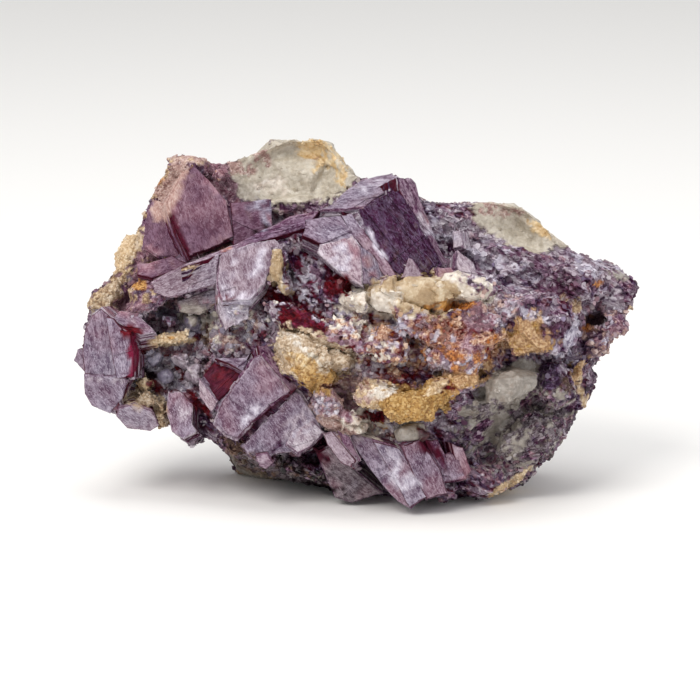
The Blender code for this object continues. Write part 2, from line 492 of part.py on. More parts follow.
def boxy(share):
    """A share of a radius, pushed outward so that a ball of such shares has flatter sides."""
    return math.copysign(abs(share) ** LUMP_BOXINESS, share)


def make_lump(lump):
    """A broken chunk: the flat-sided skin round corners that are spread unevenly over a rounded box."""
    corners = SMALL_LUMP_CORNERS if max(lump.radii[:2]) < SMALL_LUMP else LARGE_LUMP_CORNERS
    dice = random.Random(lump.name)
    roll = math.radians(lump.roll)
    right, up, toward = lump.middle
    chunk = bmesh.new()
    for index in range(corners):
        depth = 1.0 - 2.0 * (index + 0.5) / corners
        around = math.sqrt(1.0 - depth * depth)
        angle = index * GOLDEN_ANGLE + dice.uniform(-LUMP_TWIST, LUMP_TWIST)
        swollen = 1.0 + dice.uniform(-LUMP_ROUGHNESS, LUMP_ROUGHNESS)
        side = boxy(around * math.cos(angle)) * lump.radii[0] * swollen
        height = boxy(around * math.sin(angle)) * lump.radii[1] * swollen
        chunk.verts.new(seen(
            right + side * math.cos(roll) - height * math.sin(roll),
            up + side * math.sin(roll) + height * math.cos(roll),
            toward - LUMP_SINK + boxy(depth) * lump.radii[2] * swollen,
        ))
    skin = bmesh.ops.convex_hull(chunk, input=chunk.verts)
    inside = [part for part in skin["geom_interior"] if isinstance(part, bmesh.types.BMVert)]
    bmesh.ops.delete(chunk, geom=inside, context="VERTS")
    bmesh.ops.recalc_face_normals(chunk, faces=chunk.faces)
    return new_object(lump.name, chunk)


def inside_outline(outline, right, up):
    """Whether a place is inside an outline, counted by the sides that a level line crosses."""
    crossed = False
    for (ax, ay), (bx, by) in zip(outline, outline[1:] + outline[:1]):
        if (ay > up) != (by > up) and right < ax + (up - ay) * (bx - ax) / (by - ay):
            crossed = not crossed
    return crossed


def toward_viewer():
    """The direction from the stone to the viewer."""
    return (world(0.0, 0.0, 1.0) - world(0.0, 0.0, 0.0)).normalized()


def surface_of(body):
    """The body's surface, for finding where a line meets it."""
    return BVHTree.FromObject(body, bpy.context.evaluated_depsgraph_get())


def tilted(normal, most, dice):
    """A direction near the normal, off it by up to most each way."""
    return (normal + Vector([dice.uniform(-most, most) for _ in range(3)])).normalized()


def polygon(middle, outward, sides, start, radii):
    """The corners of a flat shape with equal sides, stretched to two radii."""
    across = outward.orthogonal().normalized()
    upward = outward.cross(across)
    angles = [start + math.tau * corner / sides for corner in range(sides)]
    return [
        middle + across * math.cos(angle) * radii[0] + upward * math.sin(angle) * radii[1]
        for angle in angles
    ]


def make_block(name, hit, normal, dice):
    """A block with four to six sides, seated in the surface at an odd angle."""
    size = dice.uniform(*BLOCK_SIZES)
    outward = tilted(normal, BLOCK_TILT, dice)
    sides = dice.choice(BLOCK_SIDES)
    start = dice.uniform(0.0, math.tau)
    radii = (size * dice.uniform(*BLOCK_STRETCH), size)
    face = polygon(hit + outward * size * BLOCK_STANDING, outward, sides, start, radii)
    return make_prism(name, face, outward, size * (BLOCK_STANDING + BLOCK_ROOT))


def make_blocks(surface, count, front):
    """Blocks on one side of the body, in front only where no crystal was placed."""
    dice = random.Random(BLOCK_SEED + count)
    forward = toward_viewer() if front else -toward_viewer()
    made = []
    while len(made) < count:
        right = dice.uniform(*BLOCK_RANGE_RIGHT)
        up = dice.uniform(*BLOCK_RANGE_UP)
        if front and any(inside_outline(crystal.outline, right, up) for crystal in CRYSTALS):
            continue
        outer_right = BODY_CENTRE[0] + (right - BODY_CENTRE[0]) * BLOCK_EDGE_MARGIN
        outer_up = BODY_CENTRE[1] + (up - BODY_CENTRE[1]) * BLOCK_EDGE_MARGIN
        if not inside_outline(BODY_EDGE, outer_right, outer_up):
            continue
        hit, normal, _, _ = surface.ray_cast(seen(right, up, 0.0) + forward * CAST_FROM, -forward)
        if hit is None or normal.dot(forward) < BLOCK_FACING:
            continue
        made.append(make_block(f"block_{len(made)}", hit, normal, dice))
    return made


def make_rear_books(surface):
    """Books on the far side of the stone: prisms of four to six sides that face away from the viewer."""
    dice = random.Random(REAR_SEED)
    made = []
    for index in range(REAR_BOOKS):
        share = math.sqrt((index + 0.5) / REAR_BOOKS)
        right = BODY_CENTRE[0] + REAR_REACH[0] * share * math.cos(index * GOLDEN_ANGLE)
        up = BODY_CENTRE[1] + REAR_REACH[1] * share * math.sin(index * GOLDEN_ANGLE)
        hit, normal, _, _ = surface.ray_cast(
            seen(right, up, 0.0) - toward_viewer() * CAST_FROM, toward_viewer())
        outward = tilted(normal, REAR_TILT, dice)
        middle = hit + outward * dice.uniform(*REAR_STAND)
        size = dice.uniform(*REAR_SIZES)
        sides = dice.choice(REAR_SIDES)
        start = dice.uniform(0.0, math.tau)
        radii = (size * REAR_STRETCH[0], size * REAR_STRETCH[1])
        face = polygon(middle, outward, sides, start, radii)
        made.append(make_prism(f"rear_book_{index}", face, outward, REAR_DEPTH))
    return made


def grown_together(body, others):
    """One closed solid of the body and all that grows from it."""
    group = bpy.data.collections.new("grown on")
    bpy.context.scene.collection.children.link(group)
    for other in others:
        bpy.context.scene.collection.objects.unlink(other)
        group.objects.link(other)
    union = body.modifiers.new("grown together", "BOOLEAN")
    union.operation = "UNION"
    union.solver = "EXACT"
    union.operand_type = "COLLECTION"
    union.collection = group
    union.use_self = True
    mesh = evaluated_mesh(body)
    for other in others:
        bpy.data.objects.remove(other)
    body.modifiers.clear()
    body.data = mesh


def evaluated_mesh(made):
    graph = bpy.context.evaluated_depsgraph_get()
    return bpy.data.meshes.new_from_object(made.evaluated_get(graph), depsgraph=graph)


def cut_away(body, cutter):
    """Takes a closed shape out of the stone."""
    cut = body.modifiers.new("cut away", "BOOLEAN")
    cut.operation = "DIFFERENCE"
    cut.solver = "EXACT"
    cut.object = cutter
    mesh = evaluated_mesh(body)
    body.modifiers.clear()
    body.data = mesh
    bpy.data.objects.remove(cutter)


def rest_on_table(body):
    """Cuts the stone's lowest corners flat at the height of the table."""
    block = bmesh.new()
    bmesh.ops.create_cube(block, size=TABLE_CUTTER)
    for vert in block.verts:
        vert.co.z -= TABLE_CUTTER / 2
    cut_away(body, new_object("table", block))


def joined_to(start, left):
    """Takes out of left, and returns, the faces reached from one face over edges that two faces share."""
    queue = [start]
    island = [start]
    while queue:
        for edge in queue.pop().edges:
            if len(edge.link_faces) != 2:
                continue
            for face in edge.link_faces:
                if face in left:
                    left.remove(face)
                    queue.append(face)
                    island.append(face)
    return island


def outer_skin(body):
    """Keeps the outside, without the closed gaps that are left between crystals, as triangles in metres."""
    skin = bmesh.new()
    skin.from_mesh(body.data)
    left = set(skin.faces)
    islands = []
    while left:
        islands.append(joined_to(left.pop(), left))
    islands.sort(key=len)
    for island in islands[:-1]:
        bmesh.ops.delete(skin, geom=island, context="FACES")
    bmesh.ops.triangulate(skin, faces=skin.faces)
    bmesh.ops.scale(skin, vec=(MM, MM, MM), verts=skin.verts)
    skin.to_mesh(body.data)
    skin.free()


def stone_material():
    """Rough lilac mica with a faint gloss."""
    material = bpy.data.materials.new("raw lepidolite")
    material.use_nodes = True
    shader = material.node_tree.nodes["Principled BSDF"]
    shader.inputs["Base Color"].default_value = STONE_COLOUR
    shader.inputs["Roughness"].default_value = STONE_ROUGHNESS
    shader.inputs["Metallic"].default_value = 0.0
    return material


def main():
    for old in list(bpy.data.objects):
        bpy.data.objects.remove(old)
    stone = make_body()
    surface = surface_of(stone)
    grown = []
    for crystal in CRYSTALS:
        grown += make_crystal(crystal)
    grown += [make_lump(lump) for lump in LUMPS + REAR_LUMPS + REAR_FEET]
    grown += make_rear_books(surface)
    grown += make_blocks(surface, FRONT_BLOCKS, True)
    grown += make_blocks(surface, REAR_BLOCKS, False)
    grown_together(stone, grown)
    for pit in PITS:
        cut_away(stone, make_lump(pit))
    rest_on_table(stone)
    outer_skin(stone)
    stone.name = "lepidolite_stone"
    stone.data.materials.clear()
    stone.data.materials.append(stone_material())


if __name__ == "__main__":
    main()
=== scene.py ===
"""Raw lepidolite: the finished look of a palm-sized specimen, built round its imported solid.

Run as a script, it makes the stone's mass, its mica books, quartz, feldspar crust, flakes and crumbs, each
with its own material, and a plain stage. Lengths in the lists below are millimetres, laid out as the stone
is seen from its front: right of the sight line, up from the lowest point seen, and toward the viewer.
"""

import itertools
import math
import random
from collections import namedtuple

import bmesh
import bpy
import numpy as np
from bpy.props import FloatProperty, FloatVectorProperty, IntProperty, PointerProperty
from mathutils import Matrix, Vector
from mathutils.bvhtree import BVHTree

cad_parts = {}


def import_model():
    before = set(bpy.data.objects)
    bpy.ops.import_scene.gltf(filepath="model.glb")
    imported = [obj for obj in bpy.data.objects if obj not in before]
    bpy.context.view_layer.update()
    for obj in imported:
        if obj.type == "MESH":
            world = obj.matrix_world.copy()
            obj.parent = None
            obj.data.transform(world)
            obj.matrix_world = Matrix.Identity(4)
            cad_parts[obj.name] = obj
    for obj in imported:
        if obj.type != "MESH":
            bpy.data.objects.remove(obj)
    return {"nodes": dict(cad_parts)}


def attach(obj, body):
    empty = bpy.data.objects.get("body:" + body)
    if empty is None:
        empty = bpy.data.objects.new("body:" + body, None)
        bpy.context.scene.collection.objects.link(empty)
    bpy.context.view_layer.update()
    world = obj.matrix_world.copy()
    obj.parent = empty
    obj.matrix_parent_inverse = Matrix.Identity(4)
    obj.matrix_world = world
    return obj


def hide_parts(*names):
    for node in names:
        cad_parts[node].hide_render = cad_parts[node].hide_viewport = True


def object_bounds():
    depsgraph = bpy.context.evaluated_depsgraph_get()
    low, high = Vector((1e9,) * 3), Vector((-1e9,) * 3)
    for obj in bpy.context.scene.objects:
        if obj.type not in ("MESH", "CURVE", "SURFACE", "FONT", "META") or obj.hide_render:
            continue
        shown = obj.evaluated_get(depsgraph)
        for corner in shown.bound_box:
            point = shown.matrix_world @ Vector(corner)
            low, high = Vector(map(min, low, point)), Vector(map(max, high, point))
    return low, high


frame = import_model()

bl_info = {
    "name": "Raw lepidolite",
    "version": (1, 0, 0),
    "blender": (4, 5, 0),
    "location": "3D View > Sidebar > Lepidolite",
    "description": "Dresses the packed lepidolite stone in mica books, quartz, feldspar crust and grains",
    "category": "Object",
}

MM = 0.001
SHORTEST = 0.05
NODE = "lepidolite_stone"
BODY = "root"
CAD_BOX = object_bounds()

# How the front of the stone is seen
VIEW_TILT = math.radians(12.0)
EYE_DISTANCE = 600.0
SIGHT_UP = 22.5
SIGHT_HEIGHT = 19.5
BOX_CENTRE = (1.104, 0.033)
SIGHT_WAY = (0.0, math.cos(VIEW_TILT), -math.sin(VIEW_TILT))
PICTURE_WIDTH = 98.246
SENSOR_WIDTH = 36.0

GOLDEN_ANGLE = math.pi * (3.0 - math.sqrt(5.0))
GOLDEN_SHARE = 0.618034

# A mineral as it is painted: what it is, its own colour, the colours of its darker and paler flecks, how much
# of each it has, how rough it is, how thickly mica flakes and feldspar crumbs lie on it, and how rugged it is
# The paler colour is also painted into mica as highlights, and the darker one into the mass as shade where
# grains meet
Mineral = namedtuple("Mineral", "kind colour shade glint dark pale rough flaky crumbly rugged")

# The kinds of mineral, with the material that each is drawn in
KINDS = {
    "mica": "cleaved lepidolite mica",
    "quartz": "milky quartz",
    "feldspar": "weathered iron stained feldspar",
}
MINERALS = {name: Mineral(kind, *look) for kind, looks in {
    "mica": {
        "lilac": ("675163", "442F42", "ACA0B0", 0.65, 0.55, 0.38, 0.5, 0.0, 1.0),
        "mottled": ("5E4050", "3E2434", "866C80", 0.70, 0.45, 0.42, 0.2, 0.0, 1.0),
        "plum": ("663E5A", "34162E", "B09AAA", 0.70, 0.50, 0.38, 0.8, 0.1, 1.0),
        "violet": ("32042A", "10020E", "9484A6", 0.75, 0.10, 0.36, 0.7, 0.0, 1.0),
        "maroon": ("46081C", "200409", "5C2036", 0.75, 0.10, 0.32, 0.3, 0.0, 1.0),
        "blood": ("600C14", "260506", "6C1E26", 0.75, 0.10, 0.30, 0.1, 0.0, 1.0),
        "mist": ("7A7486", "544E62", "C4C0CE", 0.60, 0.55, 0.33, 0.6, 0.0, 1.0),
        "frost": ("ACA4B2", "7C7488", "E6E2EC", 0.55, 0.60, 0.33, 0.7, 0.1, 1.0),
        "silver": ("90828E", "685664", "D8D0D8", 0.60, 0.65, 0.33, 0.7, 0.1, 1.0),
        "slate": ("605459", "362A32", "A2989E", 0.70, 0.50, 0.42, 0.6, 0.2, 1.0),
        "pearl": ("816C77", "5A4450", "BCB0BA", 0.55, 0.50, 0.40, 0.4, 0.1, 1.0),
        "grape": ("4C2038", "200A1A", "8E7088", 0.70, 0.30, 0.36, 0.6, 0.0, 1.0),
        "wine": ("6E1832", "3A0A18", "86405A", 0.60, 0.10, 0.32, 0.1, 0.0, 1.0),
        "rust": ("803C2C", "3A1610", "C8A496", 0.75, 0.50, 0.50, 0.3, 0.6, 1.0),
        "rose": ("86606C", "5E3846", "BCA2AA", 0.55, 0.50, 0.45, 0.4, 0.4, 1.0),
        "umber": ("4A362E", "20120E", "8C7464", 0.70, 0.50, 0.60, 0.2, 0.2, 1.0),
        # shadow is no mineral of the stone but painted shade, laid in cracks, pits, gaps, hollows and on the
        # underside
        "shadow": ("140A0C", "060304", "3A2A2E", 0.50, 0.20, 0.75, 0.0, 0.0, 1.0),
    },
    "quartz": {
        "white": ("D6CCC0", "AEA092", "EEEAE2", 0.40, 0.50, 0.50, 0.0, 0.3, 0.65),
        "milk": ("B6AD9E", "928878", "DAD4C8", 0.45, 0.50, 0.40, 0.0, 0.1, 0.25),
        "quartz": ("8E867E", "665E56", "B8B2AC", 0.50, 0.50, 0.38, 0.1, 0.1, 0.3),
        "wax": ("AE9676", "8E7452", "D8CCB4", 0.60, 0.55, 0.46, 0.0, 0.1, 0.75),
        "honey": ("D2B88C", "A88450", "E2D4B6", 0.55, 0.50, 0.42, 0.0, 0.1, 0.5),
    },
    "feldspar": {
        "blush": ("A88880", "7E5E58", "D4C0B8", 0.50, 0.50, 0.55, 0.0, 0.1, 0.4),
        "cream": ("C9AF8C", "A0825E", "E6D8BE", 0.45, 0.45, 0.70, 0.0, 0.8, 0.45),
        "bone": ("B69E84", "8A745A", "D8CCBA", 0.60, 0.60, 0.72, 0.0, 0.6, 0.6),
        "straw": ("AC8446", "7E5628", "CCAE7A", 0.55, 0.50, 0.75, 0.0, 0.9, 0.7),
        "ochre": ("B47C34", "6C4018", "DCB070", 0.65, 0.50, 0.75, 0.0, 0.8, 0.8),
        "tan": ("A88C6C", "6A4E38", "D4C0A2", 0.65, 0.55, 0.70, 0.0, 0.5, 0.6),
        "peach": ("C0957A", "84543E", "E8D2BC", 0.60, 0.60, 0.65, 0.0, 0.7, 0.6),
        "amber": ("A85E18", "5A2A0A", "D89848", 0.60, 0.45, 0.55, 0.0, 0.4, 1.0),
        "amber_pale": ("AA845A", "805A38", "D2B48E", 0.50, 0.50, 0.50, 0.0, 0.1, 0.3),
        "orange": ("B06E30", "743A16", "DEA468", 0.60, 0.50, 0.60, 0.0, 0.5, 0.8),
    },
}.items() for name, look in looks.items()}

# What the granular mass is mixed from: the size of its grains across, along and into the foliation, how
# thickly broken crystals lie on it, and the parts of its minerals, from pale to dark. Each grain is of one.
Mixture = namedtuple("Mixture", "grain rubble parts")
LONG, FINE, SUGAR = (0.32, 1.05, 0.34), (0.30, 0.75, 0.34), (0.42, 0.55, 0.42)

MIXTURES = {
    "foliated": Mixture(LONG, 0.0, dict(silver=22, lilac=26, rose=8, plum=20, maroon=8, violet=16)),
    "silvery": Mixture(LONG, 0.1, dict(frost=16, silver=34, lilac=24, plum=14, violet=12)),
    "streaky": Mixture(FINE, 0.0, dict(frost=8, silver=12, lilac=8, wine=10, plum=10, maroon=30, violet=22)),
    "bloody": Mixture(LONG, 0.0, dict(frost=4, silver=4, rose=5, wine=22, maroon=35, blood=30)),
    "rosy": Mixture(SUGAR, 0.2, dict(tan=14, rose=38, lilac=16, mottled=22, plum=10)),
    "sugary": Mixture(SUGAR, 0.5, dict(white=11, frost=7, peach=15, silver=12, rose=21, rust=12, plum=10,
                                       blood=12)),
    "burnt": Mixture(SUGAR, 0.5, dict(frost=6, silver=14, peach=22, rose=22, orange=16, rust=16, blood=4)),
    "hollow": Mixture(SUGAR, 1.0, dict(frost=16, silver=26, lilac=12, rose=14, plum=10, blood=17, shadow=5)),
    "ashen": Mixture(FINE, 0.1, dict(quartz=24, slate=30, rose=10, plum=20, violet=16)),
    "crushed": Mixture(SUGAR, 1.0, dict(white=8, frost=22, silver=24, blush=12, rose=18, plum=8, wine=8)),
    "pinkish": Mixture(SUGAR, 0.8, dict(frost=12, silver=14, blush=22, rose=36, plum=16)),
    # The belly is the stone's underside; the umber and shadow in its mixture are painted shade
    "belly": Mixture(SUGAR, 0.4, dict(slate=14, plum=26, umber=40, shadow=20)),
    "milky": Mixture(SUGAR, 0.0, dict(milk=1)),
    "glassy": Mixture(SUGAR, 0.0, dict(quartz=1)),
    "waxen": Mixture(SUGAR, 0.0, dict(wax=1)),
    "tawny": Mixture(SUGAR, 0.1, dict(amber_pale=5, straw=1)),
    "sandy": Mixture(SUGAR, 0.0, dict(bone=2, tan=3)),
    "creamy": Mixture(SUGAR, 0.0, dict(cream=2, bone=1)),
    "snowy": Mixture(SUGAR, 0.3, dict(white=4, frost=1)),
}
DRIFT = 0.36
DRIFT_SIZE = 9.0
GRAIN_EDGE = 1.6

# The columns of a coat, which is one row of numbers for each point: how the mineral there looks, and what
# lies loose on it. The pattern is how dark and pale its flecks are, how grainy it is and how rough.
COLOUR, SHADE, GLINT = slice(0, 3), slice(3, 6), slice(6, 9)
PATTERN, LOOSE, KIND = slice(9, 13), slice(13, 15), slice(16, 19)
DARK, PALE, GRAINY = 9, 10, 11
FLAKY, CRUMBLY, RUGGED, BROKEN = 13, 14, 15, 19
COAT_WIDTH = 20

# A zone is a part of the mass of one mixture, seen from the front: its middle and radii, right and up, its
# roll, which is also the way that its foliation runs, and the farthest that it reaches back. What lies
# outside every zone is as EVERYWHERE says. Its edge is ragged, less so where it is of one mineral.
BACK = -4.0
RAGGED_ZONE = 0.5
RAGGED_QUARTZ = 0.12
Zone = namedtuple("Zone", "mixture middle radii roll back", defaults=(BACK,))

EVERYWHERE = Zone("foliated", (0.0, 0.0), (1.0, 1.0), -28)
ZONES = [Zone(*row) for row in (
    ("rosy", (-24.0, 42.1), (9.0, 9.0), 20),
    ("rosy", (-29.1, 31.0), (6.0, 5.1), 20),
    ("hollow", (-24.0, 21.1), (8.4, 6.5), -20),
    ("hollow", (-21.1, 26.5), (5.1, 2.5), 10),
    ("crushed", (-16.6, 25.5), (4.2, 3.5), 30),
    ("crushed", (-9.0, 30.0), (3.1, 3.1), 0),
    ("streaky", (-5.6, 33.3), (4.8, 3.8), -48),
    ("bloody", (-6.2, 26.4), (7.9, 2.7), -42),
    ("sugary", (4.9, 23.4), (7.9, 6.5), -10),
    ("burnt", (15.4, 22.5), (6.5, 4.2), 10),
    ("pinkish", (21.1, 29.2), (3.6, 3.1), 20),
    ("pinkish", (-0.7, 15.4), (4.8, 3.9), -40),
    ("sugary", (5.3, 16.6), (4.8, 2.0), -12),
    ("crushed", (1.7, 12.4), (6.7, 2.4), -12),
    ("silvery", (19.1, 34.8), (7.3, 3.6), -24),
    ("silvery", (29.5, 23.9), (2.8, 5.6), 70),
    ("silvery", (35.1, 34.8), (4.2, 1.7), -14),
    ("ashen", (24.0, 11.5), (8.0, 7.0), 30),
    ("ashen", (-10.0, 5.5), (8.0, 2.5), -20),
    ("pinkish", (36.5, 24.6), (3.6, 4.2), 0),
    # Painted shade on the stone's underside
    ("belly", (-10.9, 4.5), (10.1, 3.4), -20, -15.0),
    ("milky", (-7.9, 47.4), (8.7, 5.6), 8, -20.0),
    ("milky", (24.6, 40.5), (7.2, 3.1), -24, -20.0),
    ("glassy", (22.3, 17.3), (5.1, 2.8), 26),
    ("glassy", (18.2, 14.3), (2.8, 1.4), 10),
    ("glassy", (22.6, 10.2), (2.7, 3.0), 40),
    ("waxen", (-10.5, 34.2), (1.3, 3.2), -12),
    ("waxen", (-9.0, 30.9), (1.5, 1.1), -30),
    ("tawny", (25.0, 24.3), (4.2, 2.8), 10),
    ("tawny", (14.3, 17.7), (5.3, 1.3), 22),
    ("sandy", (-34.1, 30.0), (3.9, 2.1), 35, -20.0),
    ("creamy", (-31.5, 36.2), (1.9, 3.6), -25, -20.0),
    ("tawny", (32.0, 19.6), (1.1, 2.4), -10, -20.0),
    ("snowy", (0.8, 29.1), (2.9, 2.0), 0),
    ("snowy", (-16.0, 28.6), (2.8, 1.3), 32),
)]

# How a book of mica is made: the mineral of its face, those of its edges, the width of the strips that its
# face is split in, how far they stand out, how far a broken sheet steps down, how streaked it is, and the two
# minerals that its face hazes into
Look = namedtuple("Look", "face edges strips relief step streak hazes", defaults=(("mist", "rose"),))
HAZE = 0.45
HAZE_SIZE = 4.2
HAZE_EDGE = (0.05, 0.75)

LOOKS = {
    "lilac": Look("lilac", ("maroon", "plum", "silver", "lilac"), (0.5, 1.3), 0.035, 0.16, 0.85),
    "mottled": Look("mottled", ("maroon", "plum", "mottled"), (0.6, 1.6), 0.03, 0.14, 0.55, ("rose", "plum")),
    "pearly": Look("pearl", ("plum", "maroon", "silver", "pearl"), (0.5, 1.3), 0.04, 0.15, 0.7,
                   ("mist", "lilac")),
    "rosy": Look("rose", ("plum", "maroon", "rose"), (0.6, 1.5), 0.03, 0.14, 0.6),
    "silvery": Look("silver", ("plum", "lilac", "silver"), (0.4, 1.1), 0.05, 0.16, 0.7),
    "grey": Look("slate", ("plum", "slate", "quartz"), (0.4, 1.2), 0.05, 0.14, 0.7),
    "streaked": Look("plum", ("maroon", "silver", "violet"), (0.25, 0.7), 0.10, 0.12, 1.0,
                     ("silver", "violet")),
    "dark": Look("violet", ("violet", "silver", "violet"), (0.22, 0.65), 0.11, 0.15, 1.0,
                 ("violet", "maroon")),
    "plum": Look("plum", ("maroon", "plum", "silver"), (0.3, 0.9), 0.07, 0.14, 1.0),
    "maroon": Look("maroon", ("blood", "silver", "maroon"), (0.3, 0.8), 0.05, 0.16, 0.6, ("blood", "maroon")),
}

# A crystal is a prism cut from a flat face. grain is the way its sheets run on that face, in degrees up from
# the right as seen. toward is the face's place at its middle; turn and lean are how much nearer the viewer it
# comes per millimetre to the right and per millimetre up. A face of two sheets has a step in it.
Crystal = namedtuple("Crystal", "name look grain toward turn lean outline sheets", defaults=(1,))
SHEET_STEP = 0.55
SHEET_GAP = 0.1
SHEET_SHRINK = 0.06
INTERGROWTH = 0.12

